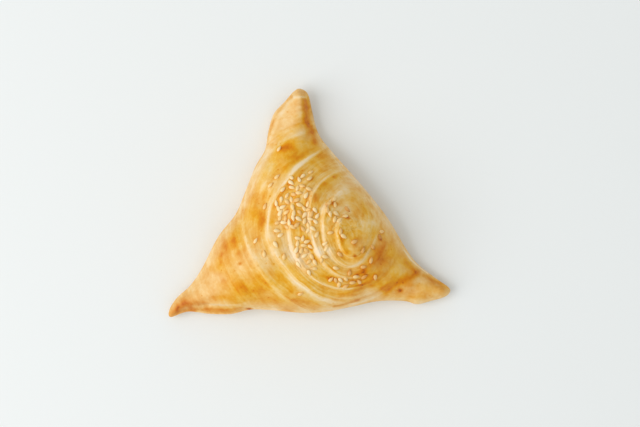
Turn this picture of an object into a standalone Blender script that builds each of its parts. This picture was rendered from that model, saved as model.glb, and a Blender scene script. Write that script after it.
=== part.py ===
"""Triangular samsa, a baked filled pastry with sesame seeds, as one solid.

Metres, +Z up. The origin is on the surface that the pastry rests on, at the middle of its outline.
+X runs from the left horn to the right horn, and +Y towards the top horn.
"""

import math
import random
from dataclasses import dataclass

import bmesh
import bpy
import numpy as np
from mathutils import Matrix, Vector

MM = 0.001

# Overall sizes of the crust
HEIGHT = 35.0 * MM
BODY_RIM_HEIGHT = 8.0 * MM
HORN_RIM_HEIGHT = 2.6 * MM
MIDDLE = np.array((2.0, -13.0)) * MM
UNDERCUT = 7.0 * MM
HORN_UNDERCUT = 2.6 * MM

# Shape of the dome: how deep inside the edge it is full, how round its shoulder is, and its outward sag
FULL_DEPTH = 23.0 * MM
SHOULDER = 2.1
SHOULDER_LIFT = 0.72
SAG = 0.16
SAG_REACH = 40.0 * MM
BASE_ROUNDING = 0.6

# The outline seen from above, in mm, clockwise from the left shoulder of the top horn
TOP_HORN_EDGE = (
    (-20.5, 24.5), (-19, 33), (-16.5, 41), (-11.5, 46.5), (-7.5, 51),
    (-4.5, 52.5), (-0.8, 50), (1.2, 42), (4, 32), (10, 23.8),
)
RIGHT_SIDE = ((23.2, 8.9), (35.3, -6.3), (44.4, -21.2))
RIGHT_HORN_EDGE = (
    (49.6, -28), (57.4, -34.2), (64.5, -39.5), (62.5, -43), (56, -45), (49.5, -46.6), (43.5, -45.1),
)
FRONT_SIDE = ((31.5, -45.1), (20, -47.5), (8, -49.8), (-3.5, -50.4), (-18.5, -49.1), (-27.5, -49))
LEFT_HORN_EDGE = ((-36, -51), (-46, -51), (-56, -50), (-64, -52.5), (-64.5, -49), (-61, -43.5), (-55, -38))
LEFT_SIDE = ((-49.5, -30), (-42, -15.5), (-34.2, -5.5), (-30, 4), (-25, 16.5))
OUTLINE_STEPS = 9


@dataclass(frozen=True)
class Horn:
    """A corner drawn out to a horn, in mm: its crest runs inwards from its tip, steep on one side."""

    tip: tuple
    lift: float
    crest: tuple
    crest_height: float
    steep_side: int


HORNS = (
    Horn((-4.5, 52.5), 4.6, ((-4.0, 49.5), (-3.0, 42.0), (-2.5, 34.0), (-5.0, 24.0)), 3.2, 1),
    Horn((64.5, -39.5), 1.6, ((62.5, -40.5), (55.0, -37.0), (47.5, -31.5), (38.0, -24.0)), 1.6, -1),
    Horn((-64.5, -51.0), 1.0, ((-62.5, -49.5), (-55.0, -46.0), (-46.0, -42.0), (-34.0, -36.0)), 1.3, -1),
)
HORN_REACH = 50.0 * MM
HORN_FULLNESS = 0.36
LIFT_REACH = 28.0 * MM
CREST_STEEP_WIDTH = 2.4 * MM
CREST_BROAD_WIDTH = 6.5 * MM
CREST_CLEAR_OF_RIM = 3.0 * MM

# The rolled layers: the spiral's eye, and its distance from the eye in mm at every eighth of a turn,
# anticlockwise from +X
EYE = np.array((18.7, -11.6)) * MM
TURNS = (
    (3.5, 4.5, 5.5, 6.0, 6.3, 8.0, 12.5, 10.5),
    (10.0, 13.0, 18.0, 15.0, 12.4, 14.1, 16.9, 12.9),
    (13.5, 19.0, 26.0, 23.7, 18.1, 19.2, 22.6, 20.0),
    (18.0, 23.0, 32.0, 30.0, 28.4, 28.2, 27.6, 25.0),
    (24.0, 29.0, 38.6, 36.9, 38.0, 33.9, 34.4, 31.5),
    (29.5, 36.0, 45.8, 51.0, 49.0, 43.4, 41.6, 39.5),
    (37.5, 45.0, 57.0, 62.5, 61.0, 57.5, 53.5, 50.0),
)
EIGHTHS = 8
LAYER_STEP = 1.7 * MM
LAYER_RISER = 2.4 * MM
LAYER_CLEAR_OF_RIM = 7.0 * MM
FULL_LAYER_GAP = 8.0 * MM

# Broad swellings of the dough, as waves along X and Y: height, waves per mm each way, and phase
SWELLINGS = (
    (0.28, 0.11, 0.13, 1.3),
    (0.28, 0.11, -0.13, 0.5),
    (0.33, 0.21, -0.17, 2.1),
    (0.30, 0.37, 0.29, 0.0),
)
SWELLINGS_CLEAR_OF_RIM = 6.0 * MM

# The folded underside: three seams from its middle to the horns, each with one flap's edge above the other
SEAM_DEPTH = 1.3 * MM
SEAM_SLOPE = 11.0 * MM
SEAM_EDGE = 1.0 * MM
SEAM_LENGTH = 0.9

# The fold at the left of the front side, in mm, with the lower flap showing below it. The flap starts and
# ends over these shares of the fold.
FLAP_FOLD = ((-52.0, -45.5), (-40.0, -46.5), (-27.0, -48.8))
FLAP_DROP = 1.9 * MM
FLAP_STARTS, FLAP_ENDS = 0.25, 0.12
FLAP_EDGE = 0.8 * MM
FLAP_WIDTH = 6.0 * MM

# Resolution of the crust: rings from the rim inwards, as shares of the way from the middle to the rim
ROUND_STEPS = 210
TOP_EDGE_RINGS = (0.996, 0.987, 0.97)
TOP_RING_STEP = 0.009
BASE_EDGE_RINGS = (0.985, 0.95, 0.9, 0.84, 0.78)
BASE_RING_STEP = 0.06
TOP, RIM, BASE = 1.0, 0.0, -1.0
CRUST_TRIANGLES = 6600
JOINED_SHARE = 0.82
SMOOTH_ANGLE = math.radians(75)

# Sesame seeds: clusters as (x, y, half width, half height, how many), in mm, and seeds laid one by one as
# (x, y, which way the tip points in degrees)
SEED_LENGTH = 3.1 * MM
SEED_WIDTH = 1.9 * MM
SEED_THICKNESS = 1.2 * MM
SEED_TAPER = 0.55
SEED_SPACING = 2.1 * MM
SEED_RAISED = 0.2 * MM
SEED_SIZES = (0.94, 1.14)
SEED_CLUSTERS = (
    (-4.5, 9.0, 5.0, 4.5, 3),
    (-9.0, -3.5, 5.0, 8.0, 15),
    (-1.0, -8.0, 4.0, 6.0, 8),
    (-3.0, -19.5, 3.5, 4.5, 2),
    (3.0, -27.5, 3.5, 3.0, 3),
    (13.0, -3.5, 5.5, 5.5, 10),
    (17.0, -35.5, 7.0, 2.5, 3),
)
LONE_SEEDS = (
    (-13.7, 24.6, 60), (-14.5, 11.8, 40), (-17.5, 8.0, 42), (-4.6, 10.5, 110), (-8.2, 9.0, -38),
    (-7.8, 6.8, -20), (-11.9, 6.0, 48), (-3.1, 7.5, -18), (0.7, 13.8, 43), (0.2, 10.9, 45), (-0.1, 6.1, -25),
    (-4.6, 4.4, -8), (-1.4, 3.3, 60), (-10.0, 3.3, 60), (-14.9, -0.1, 100), (-20.0, -1.6, 70),
    (-11.9, -1.9, 25), (-9.8, 0.2, -45), (-13.1, -4.6, 60), (-10.2, -4.3, 30), (-7.0, -4.6, 80),
    (-0.6, -0.5, 75), (-0.4, -3.1, 10), (3.6, -5.9, 55), (2.6, -3.4, -50), (-14.2, -9.1, 20),
    (-2.1, -8.1, 75), (-9.0, -8.8, 100), (-5.5, -9.9, 40), (-10.7, -6.9, 80), (1.7, -11.7, -35),
    (-14.5, -12.7, -5), (-13.0, -14.6, 30), (-24.2, -17.2, 60), (-20.4, -23.0, 95), (-15.2, -18.9, -55),
    (-11.4, -24.2, 85), (-4.8, -27.9, -55), (-0.1, -31.6, -70), (-4.0, -41.2, 35), (-2.9, -16.0, 80),
    (-1.0, -17.5, 20), (-2.4, -19.2, 0), (0.6, -19.9, -35), (-5.3, -18.3, 80), (-5.8, -21.2, 70),
    (-3.6, -21.5, 70), (-5.1, -23.6, 75), (-1.2, -21.6, -40), (1.2, -24.5, -60), (2.6, -27.0, -60),
    (3.4, -14.3, 60), (9.6, -13.5, 10), (14.1, -12.8, 80), (15.5, -15.2, -30), (7.1, -18.4, 35),
    (7.7, -20.6, 60), (7.3, -24.4, -15), (13.9, -23.4, -35), (20.4, -17.6, 20), (32.9, -13.2, 15),
    (32.1, -15.8, -60), (28.7, -20.2, -35), (24.2, -21.3, 65), (27.9, -26.0, 75), (24.6, -29.0, 5),
    (12.1, -29.5, -15), (18.2, -31.6, 80), (21.2, -33.4, 0), (24.9, -33.4, 35), (29.9, -33.9, -75),
    (9.8, -34.6, 45), (14.2, -35.0, -50), (16.7, -34.6, -60), (19.7, -36.1, 0), (16.5, -37.8, 35),
)
SEED_DRAW = 11
DRAWS_PER_SEED = 60
SLOPE_REACH = 0.8 * MM

DOUGH_COLOUR = (0.80, 0.47, 0.14)
SESAME_COLOUR = (0.90, 0.68, 0.38)


def smooth(t):
    """0 below 0, 1 above 1, and an S-curve between."""
    t = np.clip(t, 0.0, 1.0)
    return t * t * (3 - 2 * t)


def curve_through(before, start, end, after, t):
    """A point on the smooth curve from start to end, a share t of the way along."""
    bend = 2 * before - 5 * start + 4 * end - after
    twist = 3 * start - before - 3 * end + after
    return 0.5 * (2 * start + (end - before) * t + bend * t**2 + twist * t**3)


def make_outline():
    """The pastry's edge seen from above, as a smooth closed curve whose middle is the origin."""
    edges = (TOP_HORN_EDGE, RIGHT_SIDE, RIGHT_HORN_EDGE, FRONT_SIDE, LEFT_HORN_EDGE, LEFT_SIDE)
    keys = np.concatenate(edges).astype(float)
    before, after, beyond = np.roll(keys, 1, 0), np.roll(keys, -1, 0), np.roll(keys, -2, 0)
    steps = np.arange(OUTLINE_STEPS) / OUTLINE_STEPS
    stretches = [curve_through(before, keys, after, beyond, t) for t in steps]
    outline = np.stack(stretches, 1).reshape(-1, 2) * MM
    return outline - (outline.max(0) + outline.min(0)) / 2


OUTLINE = make_outline()


def depth_inside(points):
    """How deep inside the outline each point lies, as a smooth distance to the whole edge."""
    ends = np.roll(OUTLINE, -1, 0)
    lengths = np.linalg.norm(ends - OUTLINE, axis=1)
    middles = (OUTLINE + ends) / 2
    distance = np.linalg.norm(points[:, None, :] - middles[None], axis=2)
    distance = np.maximum(distance, lengths / 2)
    return (2 / math.pi * (lengths / distance**4).sum(1)) ** (-1 / 3)


def distance_to(points, place):
    """Distance of each point from a place given in mm."""
    return np.linalg.norm(points - np.array(place) * MM, axis=1)


def body_share(points):
    """1 in the body of the pastry, falling to 0 at each horn's tip."""
    return np.min([smooth(distance_to(points, horn.tip) / HORN_REACH) for horn in HORNS], axis=0)


def tip_lift(points):
    """How far the horns curl up off the table."""
    lifts = [horn.lift * MM * (1 - smooth(distance_to(points, horn.tip) / LIFT_REACH)) ** 1.5 for horn in HORNS]
    return np.sum(lifts, axis=0)


def beside_line(points, line):
    """(distance, side, share of the way along) of each point from a line in mm. Side is 1 on the left."""
    nearest = np.full(len(points), np.inf)
    side = np.zeros(len(points))
    along = np.zeros(len(points))
    corners = np.array(line, float) * MM
    for index, (start, end) in enumerate(zip(corners[:-1], corners[1:])):
        step = end - start
        t = np.clip((points - start) @ step / (step @ step), 0, 1)
        offset = points - start - t[:, None] * step
        distance = np.linalg.norm(offset, axis=1)
        closer = distance < nearest
        turn = np.sign(step[0] * offset[:, 1] - step[1] * offset[:, 0])
        nearest = np.where(closer, distance, nearest)
        side = np.where(closer, turn, side)
        along = np.where(closer, (index + t) / (len(corners) - 1), along)
    return nearest, side, along


def horn_crests(points):
    """The ridge that runs down each horn, broad on one side and steep on the other."""
    height = np.zeros(len(points))
    for horn in HORNS:
        distance, side, along = beside_line(points, horn.crest)
        width = np.where(side == horn.steep_side, CREST_STEEP_WIDTH, CREST_BROAD_WIDTH)
        height += horn.crest_height * MM * np.exp(-((distance / width) ** 2)) * (1 - smooth(along)) ** 0.5
    return height


def layer_place(points):
    """(share of the way from the winding inside a point to the one outside it, gap between those windings)."""
    offset = points - EYE
    radius = np.linalg.norm(offset, axis=1)
    eighth = (np.arctan2(offset[:, 1], offset[:, 0]) / (2 * math.pi)) % 1.0 * EIGHTHS
    index, part = eighth.astype(int), eighth % 1.0
    spiral = np.ravel(TURNS) * MM
    windings = [np.zeros(len(points))]
    for turn in range(len(TURNS)):
        corners = [np.clip(turn * EIGHTHS + index + step, 0, len(spiral) - 1) for step in (-1, 0, 1, 2)]
        windings.append(curve_through(*(spiral[corner] for corner in corners), part))
    windings = np.stack(windings, 1)
    turn = np.clip((radius[:, None] >= windings).sum(1) - 1, 0, len(TURNS) - 1)
    rows = np.arange(len(points))
    inner, outer = windings[rows, turn], windings[rows, turn + 1]
    return np.clip((radius - inner) / (outer - inner), 0, 1), outer - inner


def layer_steps(points, depth):
    """Terraces where the rolled layers overlap: each layer's outer edge stands above the next one."""
    share, gap = layer_place(points)
    from_edge = np.where(share < 0.5, share, share - 1) * gap
    riser = np.minimum(LAYER_RISER, 0.6 * gap)
    down_riser = -0.5 * np.sin(math.pi * np.clip(from_edge / riser, -0.5, 0.5)) * (1 - riser / gap)
    height = np.where(np.abs(from_edge) < riser / 2, down_riser, share - 0.5)
    strength = smooth(depth / LAYER_CLEAR_OF_RIM) * body_share(points) * np.minimum(1, gap / FULL_LAYER_GAP)
    return LAYER_STEP * height * strength


def swellings(points):
    """Broad dents and swellings of the dough."""
    x, y = points[:, 0] / MM, points[:, 1] / MM
    waves = (height * np.sin(along_x * x + along_y * y + phase) for height, along_x, along_y, phase in SWELLINGS)
    return MM * sum(waves)


def flap_below_fold(points):
    """How far the lower flap lies below the fold at the left of the front side."""
    distance, side, along = beside_line(points, FLAP_FOLD)
    ends = smooth(along / FLAP_STARTS) * smooth((1 - along) / FLAP_ENDS)
    across = smooth(distance / FLAP_EDGE) * (1 - smooth(distance / FLAP_WIDTH))
    return np.where(side < 0, FLAP_DROP * ends * across, 0)


def rim_height(points):
    """Height of the crust's widest line above the table."""
    return HORN_RIM_HEIGHT + (BODY_RIM_HEIGHT - HORN_RIM_HEIGHT) * body_share(points) + tip_lift(points)


def top_height(points):
    """Height of the upper crust."""
    depth = depth_inside(points)
    share = body_share(points)
    t = np.clip(depth / FULL_DEPTH, 0, 1)
    dome = (1 - (1 - t) ** SHOULDER) ** SHOULDER_LIFT
    dome *= 1 - SAG * smooth(np.linalg.norm(points - MIDDLE, axis=1) / SAG_REACH)
    dome *= HORN_FULLNESS + (1 - HORN_FULLNESS) * share
    relief = layer_steps(points, depth)
    relief += horn_crests(points) * smooth(depth / CREST_CLEAR_OF_RIM)
    relief += swellings(points) * smooth(depth / SWELLINGS_CLEAR_OF_RIM) * share
    return rim_height(points) + (HEIGHT - BODY_RIM_HEIGHT) * dome + relief - flap_below_fold(points)


def base_height(points):
    """Height of the folded underside: flat on the table, with a step along each flap's edge."""
    depth = depth_inside(points)
    undercut = HORN_UNDERCUT + (UNDERCUT - HORN_UNDERCUT) * body_share(points)
    t = np.clip(depth / undercut, 0, 1)
    lift = tip_lift(points)
    side_wall = (rim_height(points) - lift) * (1 - (1 - (1 - t) ** 2) ** BASE_ROUNDING)
    seams = [np.zeros(len(points))]
    for horn in HORNS:
        line = (tuple(MIDDLE / MM), tuple(SEAM_LENGTH * x for x in horn.tip))
        distance, side, along = beside_line(points, line)
        groove = SEAM_DEPTH * (1 - smooth(distance / SEAM_SLOPE)) * (1 - 0.5 * along)
        seams.append(np.where(side > 0, groove * smooth(distance / SEAM_EDGE), 0))
    return side_wall + lift + np.max(seams, axis=0) * smooth(depth / UNDERCUT)


def make_material(name, colour, roughness):
    """A plain surface of one colour."""
    material = bpy.data.materials.new(name)
    material.use_nodes = True
    shader = material.node_tree.nodes["Principled BSDF"]
    shader.inputs["Base Color"].default_value = (*colour, 1)
    shader.inputs["Roughness"].default_value = roughness
    shader.inputs["Metallic"].default_value = 0.0
    return material


def draw_ring(bm, edges, share, level):
    """Draws a ring of edges in to a smaller one, on one side of the rim, and gives the new ring's edges."""
    made = bmesh.ops.extrude_edge_only(bm, edges=edges)["geom"]
    for vertex in (item for item in made if isinstance(item, bmesh.types.BMVert)):
        vertex.co = Vector((*vertex.co.xy.normalized() * share, level))
    return [item for item in made if isinstance(item, bmesh.types.BMEdge)]


def draw_round_pillow(bm):
    """Rings from a round rim to the middle, above and below, before they are laid on the pastry's form."""
    bmesh.ops.create_circle(bm, segments=ROUND_STEPS, radius=1.0)
    rim = list(bm.edges)
    sides = ((TOP, TOP_EDGE_RINGS, TOP_RING_STEP), (BASE, BASE_EDGE_RINGS, BASE_RING_STEP))
    for level, edge_rings, ring_step in sides:
        edges = rim
        for share in (*edge_rings, *np.arange(edge_rings[-1] - ring_step, 0, -ring_step)):
            edges = draw_ring(bm, edges, share, level)
        bmesh.ops.edgeloop_fill(bm, edges=edges)
    bmesh.ops.triangulate(bm, faces=bm.faces)


def spread_to_outline(x, y):
    """Places inside a unit circle, drawn out to places inside the pastry's outline."""
    closed = np.vstack([OUTLINE, OUTLINE[:1]])
    reached = np.concatenate([[0], np.cumsum(np.linalg.norm(np.diff(closed, axis=0), axis=1))])
    way = (-np.arctan2(y, x) / (2 * math.pi)) % 1.0 * reached[-1]
    edge = np.stack([np.interp(way, reached, closed[:, 0]), np.interp(way, reached, closed[:, 1])], 1)
    return MIDDLE + (edge - MIDDLE) * np.hypot(x, y)[:, None]


def make_crust(material):
    """The whole crust, thinned to a light mesh except along its rounded lower edge."""
    bm = bmesh.new()
    draw_round_pillow(bm)
    places = np.array([vertex.co for vertex in bm.verts])
    levels = places[:, 2]
    flat = spread_to_outline(places[:, 0], places[:, 1])
    height = np.where(levels == TOP, top_height(flat), base_height(flat))
    height = np.where(levels == RIM, rim_height(flat), height)
    for vertex, (x, y), z in zip(bm.verts, flat, height):
        vertex.co = (x, y, z)
    if bm.calc_volume(signed=True) < 0:
        bmesh.ops.reverse_faces(bm, faces=bm.faces)
    mesh = bpy.data.meshes.new("samsa")
    bm.to_mesh(mesh)
    bm.free()
    mesh.materials.append(material)
    crust = bpy.data.objects.new("samsa", mesh)
    bpy.context.scene.collection.objects.link(crust)
    thinned = (levels == TOP) | (np.hypot(places[:, 0], places[:, 1]) < BASE_EDGE_RINGS[-1])
    crust.vertex_groups.new(name="thinned").add(np.nonzero(thinned)[0].tolist(), 1.0, "REPLACE")
    thin = crust.modifiers.new("thin", "DECIMATE")
    thin.vertex_group = "thinned"
    thin.vertex_group_factor = 0
    thin.ratio = CRUST_TRIANGLES / len(mesh.polygons)
    return crust


def place_seeds(draw):
    """(place seen from above, turn, size) of each seed. The drawn ones keep their spacing."""
    placed = [(Vector((x, y)) * MM, math.radians(turn)) for x, y, turn in LONE_SEEDS]
    for x, y, half_width, half_height, count in SEED_CLUSTERS:
        wanted = len(placed) + count
        for _ in range(count * DRAWS_PER_SEED):
            angle = draw.uniform(0, 2 * math.pi)
            reach = math.sqrt(draw.random())
            across = Vector((half_width * math.cos(angle), half_height * math.sin(angle))) * reach
            spot = (Vector((x, y)) + across) * MM
            turn = draw.uniform(0, 2 * math.pi)
            if len(placed) < wanted and all((spot - other).length > SEED_SPACING for other, _ in placed):
                placed.append((spot, turn))
    return [(spot, turn, draw.uniform(*SEED_SIZES)) for spot, turn in placed]


def make_seed(material):
    """One sesame seed: a flat drop, pointed at one end, with its length along X."""
    bm = bmesh.new()
    bmesh.ops.create_uvsphere(bm, u_segments=5, v_segments=4, radius=0.5)
    bmesh.ops.rotate(bm, verts=bm.verts, matrix=Matrix.Rotation(math.pi / 2, 3, "Y"))
    for vertex in bm.verts:
        narrowing = 1 - SEED_TAPER * (vertex.co.x + 0.5) ** 2
        vertex.co.x *= SEED_LENGTH
        vertex.co.y *= SEED_WIDTH * narrowing
        vertex.co.z *= SEED_THICKNESS * narrowing
    mesh = bpy.data.meshes.new("seed")
    bm.to_mesh(mesh)
    bm.free()
    mesh.materials.append(material)
    return mesh


def lay_seeds(material):
    """The seeds as objects of one collection, each lying along the crust with a turn and a size of its own."""
    placed = place_seeds(random.Random(SEED_DRAW))
    flat = np.array([spot for spot, _, _ in placed])
    along_x, along_y = (SLOPE_REACH, 0), (0, SLOPE_REACH)
    slope_x = (top_height(flat + along_x) - top_height(flat - along_x)) / (2 * SLOPE_REACH)
    slope_y = (top_height(flat + along_y) - top_height(flat - along_y)) / (2 * SLOPE_REACH)
    shape = make_seed(material)
    seeds = bpy.data.collections.new("seeds")
    bpy.context.scene.collection.children.link(seeds)
    for index, ((spot, turn, size), z, dx, dy) in enumerate(zip(placed, top_height(flat), slope_x, slope_y)):
        up = Vector((-dx, -dy, 1)).normalized()
        lie = Vector((0, 0, 1)).rotation_difference(up) @ Matrix.Rotation(turn, 3, "Z").to_quaternion()
        seed = bpy.data.objects.new(f"seed_{index:03d}", shape)
        seed.matrix_world = Matrix.LocRotScale(Vector((*spot, z)) + up * SEED_RAISED, lie, Vector((size,) * 3))
        seeds.objects.link(seed)
    return seeds


def fuse(crust, seeds):
    """Joins the seeds to the crust as one body, then removes their own objects."""
    join = crust.modifiers.new("seeds", "BOOLEAN")
    join.operation = "UNION"
    join.operand_type = "COLLECTION"
    join.collection = seeds
    join.solver = "MANIFOLD"
    lighter = crust.modifiers.new("lighter", "DECIMATE")
    lighter.ratio = JOINED_SHARE
    bpy.context.view_layer.update()
    graph = bpy.context.evaluated_depsgraph_get()
    joined = bpy.data.meshes.new_from_object(crust.evaluated_get(graph), depsgraph=graph)
    crust.modifiers.clear()
    crust.data = joined
    for seed in list(seeds.objects):
        bpy.data.objects.remove(seed)
    bpy.data.collections.remove(seeds)


def main():
    for leftover in list(bpy.data.objects):
        bpy.data.objects.remove(leftover)
    crust = make_crust(make_material("baked_dough", DOUGH_COLOUR, 0.45))
    fuse(crust, lay_seeds(make_material("sesame", SESAME_COLOUR, 0.5)))
    crust.data.shade_smooth()
    crust.data.set_sharp_from_angle(angle=SMOOTH_ANGLE)


main()
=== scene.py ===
"""Dresses the samsa, a baked triangular pastry, with its rolled crust and its sesame seeds.

Metres, +Z up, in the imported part's frame. +X runs from the left horn to the right horn, and +Y towards the
top horn.
"""

import logging
import math
import random
from dataclasses import dataclass
from enum import Enum
from functools import cached_property

import bmesh
import bpy
import numpy as np
from mathutils import Matrix, Vector, noise
from numpy.typing import NDArray


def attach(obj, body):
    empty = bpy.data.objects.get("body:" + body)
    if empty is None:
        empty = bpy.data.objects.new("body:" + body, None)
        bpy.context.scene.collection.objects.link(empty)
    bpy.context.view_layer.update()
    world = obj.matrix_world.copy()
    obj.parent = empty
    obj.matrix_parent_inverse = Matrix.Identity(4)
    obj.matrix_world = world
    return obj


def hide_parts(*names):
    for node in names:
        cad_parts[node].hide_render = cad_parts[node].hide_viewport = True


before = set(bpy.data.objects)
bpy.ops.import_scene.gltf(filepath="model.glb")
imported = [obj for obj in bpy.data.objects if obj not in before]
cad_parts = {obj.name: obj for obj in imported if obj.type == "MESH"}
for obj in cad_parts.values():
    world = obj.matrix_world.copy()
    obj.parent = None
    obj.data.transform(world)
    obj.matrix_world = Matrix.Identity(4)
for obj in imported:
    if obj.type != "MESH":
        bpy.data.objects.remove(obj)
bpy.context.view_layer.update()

MM = 0.001
BODY = "root"
NODE = "samsa"

# The rolled layers laid out flat: the length of a turn, the width of a layer, and the shift to the next one.
LAID_TURN = 157 * MM
LAID_WIDTH = 8 * MM
LAID_SHIFT = 10 * MM

# Which sockets of a Mix node hold its two colours and what comes of them.
MIX_FIRST, MIX_SECOND, MIX_RESULT = 6, 7, 2

Floats = NDArray[np.float64]
Pair = tuple[float, float]
Line = tuple[Pair, ...]
Rows = tuple[tuple[float, ...], ...]
Colour = tuple[float, float, float]

log = logging.getLogger("samsa")


class Level(Enum):
    """The side of the crust that a ring of the mesh belongs to."""

    TOP = 1.0
    RIM = 0.0
    BASE = -1.0


class Side(Enum):
    """The side of a line, for someone who looks along it."""

    LEFT = 1
    RIGHT = -1


class Draw(Enum):
    """Which set of random lumps shapes what."""

    WRINKLES = 1.0
    FINE_WRINKLES = 2.0
    LEAVES = 3.0
    LUMPS = 4.0
    SMALL_LUMPS = 5.0
    STAIN_EDGES = 6.0
    LAYER_EDGES = 7.0
    UNDERSIDE = 8.0
    WINDINGS = 9.0
    EGG_WASH = 10.0
    SMEARS = 12.0
    CLOUDS = 13.0
    SEED_STAINS_AND_SHADE = 14.0


def smooth(t: Floats) -> Floats:
    """Ease from 0 to 1 along an S-curve: 0 below 0 and 1 above 1."""
    t = np.clip(t, 0.0, 1.0)
    return t * t * (3 - 2 * t)


def blend(low: float, high: float, share: Floats) -> Floats:
    """Go from one value to another by a share of the way."""
    return low + (high - low) * share


def bell(distance: Floats, width: float | Floats) -> Floats:
    """Fade from 1 at no distance to almost 0 at two widths."""
    return np.exp(-((distance / width) ** 2))


def curve_through(before: Floats, start: Floats, end: Floats, after: Floats, t: float | Floats) -> Floats:
    """Follow the smooth curve between two of its points.

    Args:
        before: The point before the stretch.
        start: Where the stretch starts.
        end: Where the stretch ends.
        after: The point after the stretch.
        t: Share of the way from start to end.

    Returns:
        The point on the curve.
    """
    bend = 2 * before - 5 * start + 4 * end - after
    twist = 3 * start - before - 3 * end + after
    return 0.5 * (2 * start + (end - before) * t + bend * t**2 + twist * t**3)


def distance_to(points: Floats, place: Pair) -> Floats:
    """Measure how far points lie from a place given in mm."""
    return np.linalg.norm(points - np.array(place) * MM, axis=1)


def beside_line(points: Floats, line: Line) -> tuple[Floats, Floats, Floats]:
    """Measure where points lie beside a line.

    Args:
        points: Places seen from above, in metres.
        line: The line's corners, in mm.

    Returns:
        The distance from the line, the side of it, and the share of the way along it.
    """
    nearest = np.full(len(points), np.inf)
    side = np.zeros(len(points))
    along = np.zeros(len(points))
    corners = np.array(line, float) * MM
    for index, (start, end) in enumerate(zip(corners[:-1], corners[1:])):
        step = end - start
        t = np.clip((points - start) @ step / (step @ step), 0, 1)
        offset = points - start - t[:, None] * step
        distance = np.linalg.norm(offset, axis=1)
        closer = distance < nearest
        turn = np.sign(step[0] * offset[:, 1] - step[1] * offset[:, 0])
        nearest = np.where(closer, distance, nearest)
        side = np.where(closer, turn, side)
        along = np.where(closer, (index + t) / (len(corners) - 1), along)
    return nearest, side, along


def lumps(places: Floats, size: float | Pair, draw: Draw) -> Floats:
    """Draw smooth random lumps of one size, or a size each way: about -1 to 1 at each place."""
    scaled = np.column_stack([places / np.array(size), np.full(len(places), draw.value)])
    return np.array([noise.noise(row) for row in scaled.tolist()])


def display_colour(red: float, green: float, blue: float) -> Colour:
    """Turn a colour as a screen shows it, from 0 to 255, into the light it stands for."""
    shares = (red / 255, green / 255, blue / 255)
    return tuple(s / 12.92 if s <= 0.04045 else ((s + 0.055) / 1.055) ** 2.4 for s in shares)


@dataclass(frozen=True)
class Horn:
    """A corner drawn out to a horn, in mm: its crest runs inwards from its tip, steep on one side."""

    tip: Pair
    lift: float
    crest: Line
    crest_height: float
    steep_side: Side


@dataclass(frozen=True)
class PastryOutline:
    """The pastry's edge seen from above, in mm, clockwise from the left shoulder of the top horn."""

    top_horn: Line = (
        (-20.5, 24.5), (-19, 33), (-16.5, 41), (-11.5, 46.5), (-7.5, 51),
        (-4.5, 52.5), (-0.8, 50), (1.2, 42), (4, 32), (10, 23.8),
    )
    right_side: Line = ((23.2, 8.9), (35.3, -6.3), (44.4, -21.2))
    right_horn: Line = (
        (49.6, -28), (57.4, -34.2), (64.5, -39.5), (62.5, -43), (56, -45), (49.5, -46.6), (43.5, -45.1),
    )
    front_side: Line = ((31.5, -45.1), (20, -47.5), (8, -49.8), (-3.5, -50.4), (-18.5, -49.1), (-27.5, -49))
    left_horn: Line = (
        (-36, -51), (-46, -51), (-56, -50), (-64, -52.5), (-64.5, -49), (-61, -43.5), (-55, -38),
    )
    left_side: Line = ((-49.5, -30), (-42, -15.5), (-34.2, -5.5), (-30, 4), (-25, 16.5))
    middle: Pair = (2.0, -13.0)
    steps: int = 9
    points_at_once: int = 6000

    @cached_property
    def curve(self) -> Floats:
        """Draw the edge as a smooth closed curve.

        Returns:
            Points along it in metres, with the middle of their box at the origin.
        """
        right_half = (self.top_horn, self.right_side, self.right_horn)
        left_half = (self.front_side, self.left_horn, self.left_side)
        keys = np.concatenate(right_half + left_half).astype(float)
        before, after, beyond = np.roll(keys, 1, 0), np.roll(keys, -1, 0), np.roll(keys, -2, 0)
        shares = np.arange(self.steps) / self.steps
        stretches = [curve_through(before, keys, after, beyond, t) for t in shares]
        curve = np.stack(stretches, 1).reshape(-1, 2) * MM
        return curve - (curve.max(0) + curve.min(0)) / 2

    def depth(self, points: Floats) -> Floats:
        """Measure how deep inside the edge points lie, as a smooth distance to all of it.

        Args:
            points: Places seen from above.

        Returns:
            The depth of each, in metres.
        """
        ends = np.roll(self.curve, -1, 0)
        lengths = np.linalg.norm(ends - self.curve, axis=1)
        middles = (self.curve + ends) / 2
        depths = []
        for first in range(0, len(points), self.points_at_once):
            some = points[first:first + self.points_at_once]
            distance = np.linalg.norm(some[:, None, :] - middles[None], axis=2)
            distance = np.maximum(distance, lengths / 2)
            depths.append((2 / math.pi * (lengths / distance**4).sum(1)) ** (-1 / 3))
        return np.concatenate(depths)

    def spread(self, x: Floats, y: Floats) -> Floats:
        """Draw places inside a unit circle out to places inside the edge.

        Args:
            x: The places' first coordinates.
            y: The places' second coordinates.

        Returns:
            The places inside the pastry's edge, in metres.
        """
        closed = np.vstack([self.curve, self.curve[:1]])
        reached = np.concatenate([[0], np.cumsum(np.linalg.norm(np.diff(closed, axis=0), axis=1))])
        way = (-np.arctan2(y, x) / (2 * math.pi)) % 1.0 * reached[-1]
        edge = np.stack([np.interp(way, reached, closed[:, 0]), np.interp(way, reached, closed[:, 1])], 1)
        middle = np.array(self.middle) * MM
        return middle + (edge - middle) * np.hypot(x, y)[:, None]


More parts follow.
